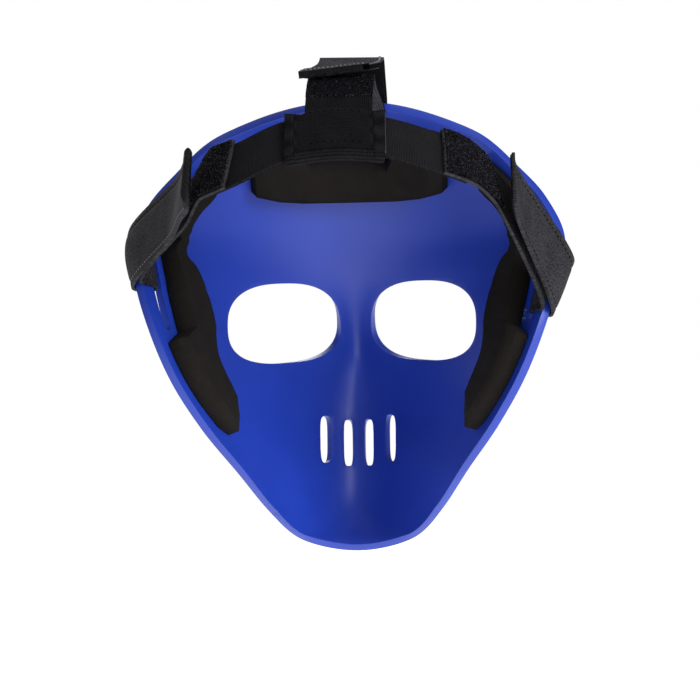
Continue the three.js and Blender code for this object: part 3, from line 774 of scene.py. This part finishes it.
def ribbon_grid(stations, first, last, spacing, columns, width=1.0, corner=0.0):
    middle = [station(0) for station in stations]
    samples = STATION_SAMPLES * (last - first)
    places = [first + (last - first) * i / samples for i in range(samples + 1)]
    ways = distances_along([curve_point(middle, place) for place in places])
    straight = ways[-1] - corner
    rows = max(2, round(straight / spacing))
    targets = [(straight * i / rows, 0.0) for i in range(rows + 1)]
    for i in range(1, CORNER_STEPS + 1 if corner else 1):
        turn = math.pi / 2 * i / CORNER_STEPS
        targets.append((straight + corner * math.sin(turn), corner * (1 - math.cos(turn))))
    sides = [2 * j / columns - 1 for j in range(columns + 1)]
    lines = [[station(side * width) for station in stations] for side in sides]
    half = (lines[-1][-1] - lines[0][-1]).length / 2
    grid, k = [], 0
    for target, trim in targets:
        while k < samples - 1 and ways[k + 1] < target:
            k += 1
        part = (target - ways[k]) / max(ways[k + 1] - ways[k], 1e-9)
        place = places[k] + (places[k + 1] - places[k]) * part
        if trim:
            scale = width * (1 - trim / half)
            lines = [[station(side * scale) for station in stations] for side in sides]
        grid.append([curve_point(line, place) for line in lines])
    return grid, ways[-1]


def grid_normals(grid):
    rows, columns = len(grid) - 1, len(grid[0]) - 1
    normals = []
    for i in range(rows + 1):
        line = []
        for j in range(columns + 1):
            along = grid[min(i + 1, rows)][j] - grid[max(i - 1, 0)][j]
            across = grid[i][min(j + 1, columns)] - grid[i][max(j - 1, 0)]
            line.append(along.cross(across).normalized())
        normals.append(line)
    return normals


def raised(grid, normals, height_of):
    return [
        [point + normals[i][j] * height_of(i, j) for j, point in enumerate(line)]
        for i, line in enumerate(grid)
    ]


def ribbon_piece(name, node, grid, length, thickness, material, edge, bulk_at=None, back=None):
    rows, columns = len(grid), len(grid[0])
    width = (grid[0][-1] - grid[0][0]).length
    bulk = None
    if bulk_at:
        def bulk(i, j):
            from_side = width * min(j, columns - 1 - j) / (columns - 1)
            return bulk_at(from_side, length * (1 - i / (rows - 1)))
    bm = grid_mesh(
        rows, columns, lambda i, j: grid[i][j],
        lambda i, j: (length * i / (rows - 1), width * j / (columns - 1)), bulk,
    )
    piece = finish_piece(name, bm, material, node)
    thicken(piece, thickness, 0, edge, 2, bool(bulk_at), back)
    return piece


# %% [markdown]
# ## Elastic band
# The band round the back is woven elastic, 25 mm wide, with ribs across its width. Ribs about a
# millimetre apart show in the picture, so they are modelled: the rows are close enough to carry a
# small wave along the band.

# %% Elastic band
ELASTIC_WIDTH, ELASTIC_THICKNESS, ELASTIC_OFFSET, ELASTIC_END, ELASTIC_STEP = 25.0, 1.5, 2.4, 50, 4
RIB_PITCH, RIB_HEIGHT, RIB_ROWS = 1.1, 0.12, 6


def rib(height, turns):
    return height * math.sin(2 * math.pi * turns)


def band_station(angle, offset, half_width, skew=0.0):
    def at(across):
        point, _, down = band_frame(angle + skew * (1 - across) / 2, offset)
        return point + down * (across * half_width)
    return at


elastic_stations = [
    band_station(angle, ELASTIC_OFFSET, ELASTIC_WIDTH / 2)
    for angle in range(-ELASTIC_END, ELASTIC_END + 1, ELASTIC_STEP)
]
grid, length = ribbon_grid(
    elastic_stations, 0, len(elastic_stations) - 1, RIB_PITCH / RIB_ROWS, columns=8)
grid = raised(grid, grid_normals(grid), lambda i, j: rib(RIB_HEIGHT, i / RIB_ROWS))
ribbon_piece(
    "elastic", "elastic_band", grid, length, ELASTIC_THICKNESS, ribbed_elastic, edge=0.3)
print(f"elastic: {length:.0f} mm long, {len(grid)} rows")

# %% [markdown]
# ## Sleeve
# A flat sewn tube of webbing that the elastic slides through. Its ribs lie level, and its ends are
# hemmed: a seam presses a groove beside each hem, and the hems stand a little proud, most at the
# upper corners, with a dip beside them. A closed ring of points, evenly spaced round the tube, is
# swept along the band.

# %% Sleeve
SLEEVE_ANGLE, SLEEVE_LENGTH, SLEEVE_HEIGHT, SLEEVE_DEPTH, SLEEVE_WALL = -0.4, 42.5, 27.6, 3.6, 1.1
SLEEVE_SAG, SLEEVE_SIDES, SLEEVE_ROWS = 2.4, 257, 97
RIGHT_HEM, LEFT_HEM, HEM_RISE, HEM_SPREAD = 5.0, 3.6, 0.4, 2.2
HEM_BUMP, HEM_DIP, DIP_PLACE, UPPER_SHARE = 1.5, 1.1, 6.5, 3.2
GROOVE_DEPTH, GROOVE_WIDTH, LOWER_GROOVE = 0.45, 0.55, 1.9
sleeve_half = SLEEVE_DEPTH / 2
sleeve_way = 2 * (SLEEVE_HEIGHT - SLEEVE_DEPTH + math.pi * sleeve_half)
back_radius = hollow_frame(0, table_value(BAND_COURSE, 1, 0), ELASTIC_OFFSET)[0].y
sleeve_half_angle = math.degrees(SLEEVE_LENGTH / 2 / back_radius)
middle_down = band_frame(SLEEVE_ANGLE, ELASTIC_OFFSET)[2]
sleeve_frames = []
for row in range(SLEEVE_ROWS):
    part = 2 * row / (SLEEVE_ROWS - 1) - 1
    point, normal, _ = band_frame(SLEEVE_ANGLE + part * sleeve_half_angle, ELASTIC_OFFSET)
    down = (middle_down - normal * middle_down.dot(normal)).normalized()
    sleeve_frames.append((point, normal, down, SLEEVE_SAG * (1 - part * part)))


def sleeve_point(row, drop, out):
    point, normal, down, sag = sleeve_frames[row]
    return point + down * (drop + sag * max(2 * drop / SLEEVE_HEIGHT, 0)) + normal * out


def swell(height, distance, width):
    return height * math.exp(-(distance / width) ** 2)


def groove(distance):
    return swell(-GROOVE_DEPTH, distance, GROOVE_WIDTH)


def sleeve_place(row, column):
    way = sleeve_way * (column % (SLEEVE_SIDES - 1)) / (SLEEVE_SIDES - 1)
    drop, out = rounded_bar(way, SLEEVE_HEIGHT - SLEEVE_DEPTH, sleeve_half)
    along = SLEEVE_LENGTH * row / (SLEEVE_ROWS - 1)
    from_end = min(along, SLEEVE_LENGTH - along)
    hem = RIGHT_HEM if along < SLEEVE_LENGTH / 2 else LEFT_HEM
    relief = rib(RIB_HEIGHT, drop / RIB_PITCH) + groove(from_end - hem)
    relief += groove(SLEEVE_HEIGHT / 2 - LOWER_GROOVE - drop) + (HEM_RISE if from_end < hem else 0)
    if drop < 0:
        bump = swell(HEM_BUMP, from_end, HEM_SPREAD) - swell(HEM_DIP, from_end - DIP_PLACE, HEM_SPREAD)
        drop -= bump * min(1, -UPPER_SHARE * drop / SLEEVE_HEIGHT)
    return sleeve_point(row, drop, out + math.copysign(relief, out))


bm = grid_mesh(
    SLEEVE_ROWS, SLEEVE_SIDES, sleeve_place,
    lambda i, j: (SLEEVE_LENGTH * i / (SLEEVE_ROWS - 1), sleeve_way * j / (SLEEVE_SIDES - 1)),
)
bmesh.ops.remove_doubles(bm, verts=bm.verts, dist=0.001 * MM)
bmesh.ops.recalc_face_normals(bm, faces=bm.faces)
sleeve = finish_piece("webbing_sleeve", bm, webbing, "band_sleeve")
thicken(sleeve, SLEEVE_WALL, 1, edge=0.3)
print(f"sleeve: {SLEEVE_LENGTH} by {SLEEVE_HEIGHT} mm")

# %% [markdown]
# ## Side straps
# Each side strap is sewn to the elastic, runs forward inside the shell, goes through the slot,
# folds back over the bar and ends free on top of itself. Its long edges are turned and sewn, so
# the tape is thinner along the seam and full at the rolled edge.

# %% Strap stations
STRAP_THICKNESS, TAPE_THICKNESS = 1.5, 1.1
FOLD_SLACK = 0.2
FOLD_RADIUS = SHELL_WALL / 2 + SEAT_GAP + FOLD_SLACK + STRAP_THICKNESS / 2
FOLD_STEPS = 6
STRAP_OFFSET = ELASTIC_OFFSET + ELASTIC_THICKNESS / 2 + SEAT_GAP + STRAP_THICKNESS / 2
TAPE_OFFSET = STRAP_THICKNESS / 2 + SEAT_GAP + TAPE_THICKNESS / 2
LAYERS_APART = 2 * TAPE_OFFSET + TAPE_THICKNESS + 2 * SEAT_GAP
HEAD_HALF_WIDTH, SLOT_HALF_WIDTH, WIDENING, START_ANGLE, END_ANGLE = 13.5, 14.8, 0.4, 38, 76
# part of the way along the run, and the share of the upper edge's skew and of the run's tuck there
RUN_STOPS = [(0, 1, 0), (0.16, 0.5, 0), (0.32, 0, 0), (0.5, 0, 0.5), (0.75, 0, 1), (1, 0, 1)]
# free run: angle, stand-off and lift of the upper edge and of the lower edge, past the fold and at the end
SIDE_STRAPS = [
    dict(name="left", side=1, slot_z=51, bulge=0, skew=0, tuck=3.2, free=[
        ((80, 1.2, -4.5), (80, -2.6, -7)), ((69, 1, -3.5), (64, -2.6, -6)),
        ((61, 2.2, -1.5), (50.5, 0.4, -5.5)), ((61, 4.6, 1.5), (52, 3.8, -1.5))]),
    dict(name="right", side=-1, slot_z=34.5, bulge=4, skew=5, tuck=0, free=[
        ((80, 6.7, -4), (80, 1.2, -4)), ((70, 10, -4), (70, 4, -4))]),
]


def fold_stations(middle, half_width, bulge=0.0):
    wall_middle = -SHELL_WALL / 2
    inner = wall_middle - FOLD_RADIUS
    # inset from the rim, height over the outer skin and lift of the upper edge
    way = [(-3, inner - 0.8, 0), (SLOT_BAR / 2, inner - FOLD_SLACK, 0)]
    for i in range(FOLD_STEPS + 1):
        turn = math.pi * (i / FOLD_STEPS - 0.5)
        way.append((SLOT_BAR + FOLD_RADIUS * math.cos(turn), wall_middle + FOLD_RADIUS * math.sin(turn), 0))
    way.append((-0.8, wall_middle + FOLD_RADIUS - 0.1, bulge))

    def station(inset, height, lift):
        return lambda across: rim_offset(
            rim_shift(middle, across * half_width), inset, height + lift * (1 - across) / 2)

    return [station(*stop) for stop in way]


def side_strap_stations(strap):
    side = strap["side"]
    stations = []
    for part, skewed, tucked in RUN_STOPS:
        half = HEAD_HALF_WIDTH + (SLOT_HALF_WIDTH - HEAD_HALF_WIDTH) * WIDENING * part ** 2
        angle = side * (START_ANGLE + (END_ANGLE - START_ANGLE) * part)
        skew = side * strap["skew"] * skewed
        stations.append(band_station(angle, STRAP_OFFSET - strap["tuck"] * tucked, half, skew))
    stations += fold_stations(side * rim_position(strap["slot_z"]), side * SLOT_HALF_WIDTH, strap["bulge"])

    def free_station(upper, lower):
        def at(across):
            upward = (1 - across) / 2
            angle, stand_off, lift = (low + (up - low) * upward for up, low in zip(upper, lower))
            point, normal, down = band_frame(side * angle, STRAP_OFFSET + LAYERS_APART)
            return point + down * (across * SLOT_HALF_WIDTH - lift) + normal * stand_off
        return at

    return stations + [free_station(*edges) for edges in strap["free"]]


# %% [markdown]
# ## Hook and loop
# Loop tape is a mat of fine nylon loops: a dense grid is pushed about by a cloud texture, and a
# few hundred stray fibres stand out of it. Hook tape is stiff, with rows of hooks along the tape:
# a wave across the width gives its ridges.

# %% Straps and tapes
SEAM_INSET, SEAM_DEPTH, SEAM_WIDTH, FREE_CORNER = 3.2, 0.45, 0.9, 4.5
PILE_GRAIN, PILE_DEPTH, PILE_SPACING, PILE_COLUMNS = 1.1 * MM, 0.8 * MM, 0.7, 40
HOOK_BACKING, TOP_HOOK_BACKING, HOOK_PITCH, HOOK_HEIGHT = 0.9, 1.5, 1.4, 0.3
HOOK_SPACING, HOOK_COLUMNS, TAPE_SHARE, TOP_HOOK_SHARE = 1.5, 120, 0.96, 0.92
pile_clouds = bpy.data.textures.new("pile_clouds", "CLOUDS")
pile_clouds.noise_scale = PILE_GRAIN
pile_clouds.noise_depth = 2


def rolled_edge(from_side, from_end):
    return 1.0 - swell(SEAM_DEPTH, min(from_side, from_end) - SEAM_INSET, SEAM_WIDTH)


def loop_tape(name, node, stations, first, last, width, side):
    grid, length = ribbon_grid(stations, first, last, PILE_SPACING, PILE_COLUMNS, width)
    grid = raised(grid, grid_normals(grid), lambda i, j: side * TAPE_OFFSET)
    piece = ribbon_piece(name, node, grid, length, TAPE_THICKNESS, loop_pile, edge=0.3)
    pile = piece.modifiers.new("pile", "DISPLACE")
    pile.texture = pile_clouds
    pile.texture_coords = "LOCAL"
    pile.strength = PILE_DEPTH
    pile.mid_level = 0.45
    return grid


def hook_tape_piece(name, node, stations, first, last, width, side, backing):
    grid, length = ribbon_grid(stations, first, last, HOOK_SPACING, HOOK_COLUMNS, width, FREE_CORNER)
    across = (grid[0][-1] - grid[0][0]).length
    seat = STRAP_THICKNESS / 2 + backing / 2 - HOOK_HEIGHT

    def ridge(i, j):
        return side * seat + rib(HOOK_HEIGHT, across * j / HOOK_COLUMNS / HOOK_PITCH)

    grid = raised(grid, grid_normals(grid), ridge)
    ribbon_piece(name, node, grid, length, backing, hook_tape, edge=0.2)


strap_grids, pile_grids = {}, []
for strap in SIDE_STRAPS:
    name, side = strap["name"], strap["side"]
    stations = side_strap_stations(strap)
    last = len(stations) - 1
    first_free = last - len(strap["free"]) + 1
    grid, length = ribbon_grid(stations, 0, last, spacing=1.0, columns=40, corner=FREE_CORNER)
    ribbon_piece(
        f"tab_strap_{name}", f"side_strap_{name}", grid, length, STRAP_THICKNESS, tab_cloth,
        edge=0.6, bulk_at=rolled_edge)
    strap_grids[name] = grid
    pile_grids.append((f"loop_{name}", loop_tape(
        f"loop_tape_{name}", f"loop_patch_{name}", stations, 0, len(RUN_STOPS) - 1, TAPE_SHARE, side), side))
    hook_tape_piece(
        f"hook_tape_{name}", f"hook_patch_{name}", stations, first_free, last, TAPE_SHARE, side, HOOK_BACKING)
    print(f"{name} strap: {length:.0f} mm long")

# %% [markdown]
# ## Top strap
# The top strap comes up from the sleeve over the crown, goes through the brow slot and is folded
# back with its end standing up off the loop tape. It is the same kind of ribbon with other
# stations. The last 9 mm are turned under twice and sewn, so the end is more than twice as thick.

# %% Top strap
TOP_X, TOP_SLOT_X, TOP_HALF_WIDTH, TOP_OFFSET = -1.5, -5.0, 15.5, 1.2
TOP_ANGLES = [34.2, 25, 14, 0, -16]
END_HEM, END_HEM_BULK, CROWN_RIB_ROWS = 9.0, 2.3, 5
# middle of the raised end, and its yaw and roll in degrees
TOP_ARCH = [(-5, -54, 139, 2, -1), (-5, -36, 146.4, 2, -1), (-4.5, -4, 143.3, 5, 1), (3, 21, 140.1, 14, 6)]


def crown_station(angle):
    reach, turn = HOLLOW_RADIUS + TOP_OFFSET, math.radians(angle)
    y, z = reach * math.sin(turn), HOLLOW_Z + reach * math.cos(turn)
    return lambda across: Vector((TOP_X + across * TOP_HALF_WIDTH, y, z))


def arch_station(x, y, z, yaw, roll):
    aside = Vector((1, math.tan(math.radians(yaw)), -math.tan(math.radians(roll)))).normalized()
    return lambda across: Vector((x, y, z)) + aside * (across * TOP_HALF_WIDTH)


top_stations = [crown_station(angle) for angle in TOP_ANGLES]
top_stations += fold_stations(rim_shift(rim_position(BROW), TOP_SLOT_X), TOP_HALF_WIDTH)
top_stations += [arch_station(*stop) for stop in TOP_ARCH]
top_last = len(top_stations) - 1
grid, length = ribbon_grid(top_stations, 0, top_last, RIB_PITCH / CROWN_RIB_ROWS, columns=16)
crown_grid = raised(grid, grid_normals(grid), lambda i, j: rib(RIB_HEIGHT, i / CROWN_RIB_ROWS))
crown_step = length / (len(grid) - 1)
# the strap's other face, on top of the folded end, takes the lighter copy of the webbing: painted light from
# above
ribbon_piece(
    "crown_strap", "top_strap", crown_grid, length, STRAP_THICKNESS * END_HEM_BULK, webbing,
    edge=0.5, back=webbing_painted_top_light,
    bulk_at=lambda from_side, from_end: 1.0 if from_end < END_HEM else 1 / END_HEM_BULK)
pile_grids.append(("loop_top", loop_tape("loop_tape_top", "top_loop_patch", top_stations, 1, 3, 1.0, 1), 1))
hook_tape_piece(
    "hook_tape_top", "top_hook_patch", top_stations, top_last - 1, top_last, TOP_HOOK_SHARE, 1,
    TOP_HOOK_BACKING)
print(f"top strap: {length:.0f} mm long")

# %% [markdown]
# ## Stray fibres
# Loops pull out of the pile in use, and the cut ends fray. Hair particles could stand for them,
# but thin three-sided cones are plain geometry: some lean out of the face, and a fringe of longer
# ones points out of the end that is sewn to the band. The tape on the crown gets fewer of these
# lighter fibres, so it stays dark: painted shade under the raised end of the top strap.

# %% Stray fibres
FACE_FIBRES, TOP_FIBRES_FOR_PAINTED_SHADE, FRINGE_FIBRES = 500, 120, 90
FIBRE_ROOT, FIBRE_TIP, FACE_LENGTHS, FRINGE_LENGTHS = 0.11 * MM, 0.05 * MM, (0.6, 1.3), (0.8, 2.2)
FACE_LEAN, FRINGE_LEAN, FIBRE_STAND = 0.8, 0.35, 0.4
draw = random.Random(7)


def new_grains():
    bm = bmesh.new()
    bm.loops.layers.uv.new("UVMap")
    return bm


def add_fibre(bm, base, way, size):
    turn = way.to_track_quat("Z", "Y").to_matrix().to_4x4()
    bmesh.ops.create_cone(
        bm, cap_ends=True, segments=3, radius1=FIBRE_ROOT, radius2=FIBRE_TIP, depth=size * MM,
        matrix=Matrix.Translation((base + way * size * FIBRE_STAND) * MM) @ turn)


for name, grid, side in pile_grids:
    normals = grid_normals(grid)
    bm = new_grains()
    # the crown tape gets fewer of the lighter fibres: painted shade under the raised end
    for _ in range(TOP_FIBRES_FOR_PAINTED_SHADE if name == "loop_top" else FACE_FIBRES):
        i, j = draw.randrange(len(grid)), draw.randrange(len(grid[0]))
        face = normals[i][j] * side
        lean = Vector([draw.gauss(0, FACE_LEAN) for _ in range(3)])
        base = grid[i][j] + face * TAPE_THICKNESS / 2
        add_fibre(bm, base, (face + lean).normalized(), draw.uniform(*FACE_LENGTHS))
    for _ in range(FRINGE_FIBRES):
        j = draw.randrange(len(grid[0]))
        outward = (grid[0][j] - grid[1][j]).normalized()
        lean = Vector([draw.gauss(0, FRINGE_LEAN) for _ in range(3)])
        add_fibre(bm, grid[0][j], (outward + lean).normalized(), draw.uniform(*FRINGE_LENGTHS))
    finish_piece(f"{name}_fibres", bm, loose_nylon)
print(f"fibres: {FACE_FIBRES + FRINGE_FIBRES} on each side tape")

# %% [markdown]
# ## Stitches
# Lockstitches are laid as small rounded grains along the seams, half sunk in the groove that the
# thread pulls into the cloth. Most thread is black, drawn darker and duller than the black cloth so
# the seams read as dark dashes: painted shade of the stitch holes. One seam of the left tab and the
# hem of the top strap are sewn with undyed thread, which shows as a pale dashed line. Laid end to
# end, the same grains make the melted bead of the sleeve's heat-cut edge, whose finish is lighter
# than the webbing: a painted highlight along the edge.

# %% Stitches
STITCH_WIDTH, STITCH_HEIGHT, STITCH_RISE = 0.75, 0.45, 0.05


def stitch_row(bm, path, normals, height, length=2.0, gap=1.0, bulk=1.0):
    pitch, ahead = length + gap, length / 2
    for k in range(len(path) - 1):
        span = (path[k + 1] - path[k]).length
        while ahead <= span:
            along = (path[k + 1] - path[k]).normalized()
            normal = (normals[k] - along * normals[k].dot(along)).normalized()
            turn = Matrix((along, normal.cross(along), normal)).transposed().to_4x4()
            width, thickness = STITCH_WIDTH * bulk, STITCH_HEIGHT * bulk
            size = Matrix.Diagonal((length / 2 * MM, width / 2 * MM, thickness / 2 * MM, 1))
            centre = path[k] + along * ahead + normal * height
            place = Matrix.Translation(centre * MM) @ turn @ size
            bmesh.ops.create_uvsphere(bm, u_segments=6, v_segments=4, radius=1, matrix=place)
            ahead += pitch
        ahead -= span


seam_height = STRAP_THICKNESS / 2 * (1 - SEAM_DEPTH) + STITCH_RISE
for name, grid in strap_grids.items():
    faces = grid_normals(grid)
    columns = len(grid[0]) - 1
    seam = round(columns * SEAM_INSET / (2 * SLOT_HALF_WIDTH))
    lower, upper = new_grains(), new_grains()
    fold = min(range(len(grid)), key=lambda i: grid[i][seam].y)
    end = len(grid) - CORNER_STEPS - 1
    across = range(seam, columns - seam + 1)
    for height in (-seam_height, seam_height):
        for bm, column in ((upper, seam), (lower, columns - seam)):
            path, normals = ([line[column] for line in lines[fold:end]] for lines in (grid, faces))
            stitch_row(bm, path, normals, height)
        stitch_row(upper, [grid[end][j] for j in across], [faces[end][j] for j in across], height)
    finish_piece(f"upper_stitches_{name}", upper, black_thread_and_painted_shade)
    lower_thread = pale_thread if name == "left" else black_thread_and_painted_shade
    finish_piece(f"lower_stitches_{name}", lower, lower_thread)

HEM_SEAM, EDGE_SEAM, EDGE_COLUMN = 1.8, 52, 1
# length, gap and bulk of the overlock grains
CROWN_STITCH = (1.2, 0.9, 2.2)
crown_normals = grid_normals(crown_grid)
hem_row, edge_row = (len(crown_grid) - 1 - round(way / crown_step) for way in (HEM_SEAM, EDGE_SEAM))
crown_seams = new_grains()
stitch_row(
    crown_seams, crown_grid[hem_row], crown_normals[hem_row], -STRAP_THICKNESS * END_HEM_BULK / 2,
    *CROWN_STITCH)
path, normals = (
    [line[EDGE_COLUMN] for line in lines[edge_row:hem_row]] for lines in (crown_grid, crown_normals))
stitch_row(crown_seams, path, normals, -STRAP_THICKNESS / 2, *CROWN_STITCH)
finish_piece("crown_stitches", crown_seams, pale_thread)

sleeve_face = sleeve_half + SLEEVE_WALL
UPPER_SEAM, LOWER_SEAM, SEAM_MARGIN = -12.0, 7.5, 22
seams = new_grains()
back_normals = [frame[1] for frame in sleeve_frames]
inner_rows = range(SEAM_MARGIN, SLEEVE_ROWS - SEAM_MARGIN)
for drop in (UPPER_SEAM, LOWER_SEAM):
    stitch_row(
        seams, [sleeve_point(row, drop, sleeve_face) for row in inner_rows],
        [back_normals[row] for row in inner_rows], STITCH_RISE, length=1.4, gap=1.8)
HEM_SEAM_HALF, HEM_SEAM_STEPS = 13, 40
drops = [HEM_SEAM_HALF * (2 * i / HEM_SEAM_STEPS - 1) for i in range(HEM_SEAM_STEPS + 1)]
for hem, row in ((RIGHT_HEM, 0), (LEFT_HEM, SLEEVE_ROWS - 1)):
    seam_row = abs(row - round(hem / SLEEVE_LENGTH * (SLEEVE_ROWS - 1)))
    stitch_row(
        seams, [sleeve_point(seam_row, drop, sleeve_face - GROOVE_DEPTH / 2) for drop in drops],
        [back_normals[seam_row]] * len(drops), STITCH_RISE, length=1.6, gap=1.3)
finish_piece("sleeve_stitches", seams, black_thread_and_painted_shade)
# the bead's lighter colour is a painted highlight along the sleeve's cut edge
bead = new_grains()
stitch_row(
    bead, [sleeve_point(0, drop, sleeve_face + HEM_RISE) for drop in drops], [back_normals[0]] * len(drops),
    height=-0.2, length=1.2, gap=-0.5)
finish_piece("sleeve_cut_edge", bead, melted_edge_painted_highlight)
print("stitches: two seams and an end seam on each tab, four on the sleeve, two on the top strap")

# %% [markdown]
# ## Dried glue
# A little contact glue has squeezed out where the right cheek pad meets the shell. Each speck is a
# small flattened drop on the shell's inner face, beside the pad's notch.

# %% Dried glue
specks = bmesh.new()
GLUE_SPECKS, GLUE_FLATNESS = 8, 0.35
GLUE_LEVELS, GLUE_INSETS, GLUE_SIZES, GLUE_STRETCH = (17, 31), (15.6, 18.6), (0.25, 0.6), (0.6, 1.6)
for _ in range(GLUE_SPECKS):
    place = -rim_position(draw.uniform(*GLUE_LEVELS))
    inset, size = draw.uniform(*GLUE_INSETS), draw.uniform(*GLUE_SIZES)
    centre = rim_offset(place, inset, -SHELL_WALL)
    normal = surface_normal(centre.x, centre.z)
    turn = normal.to_track_quat("Z", "Y").to_matrix().to_4x4()
    shape = Matrix.Diagonal((
        size * MM, size * draw.uniform(*GLUE_STRETCH) * MM, GLUE_FLATNESS * size * MM, 1))
    bmesh.ops.create_uvsphere(
        specks, u_segments=8, v_segments=5, radius=1, matrix=Matrix.Translation(centre * MM) @ turn @ shape)
finish_piece("glue_specks", specks, dried_glue)
print(f"glue: {GLUE_SPECKS} specks")
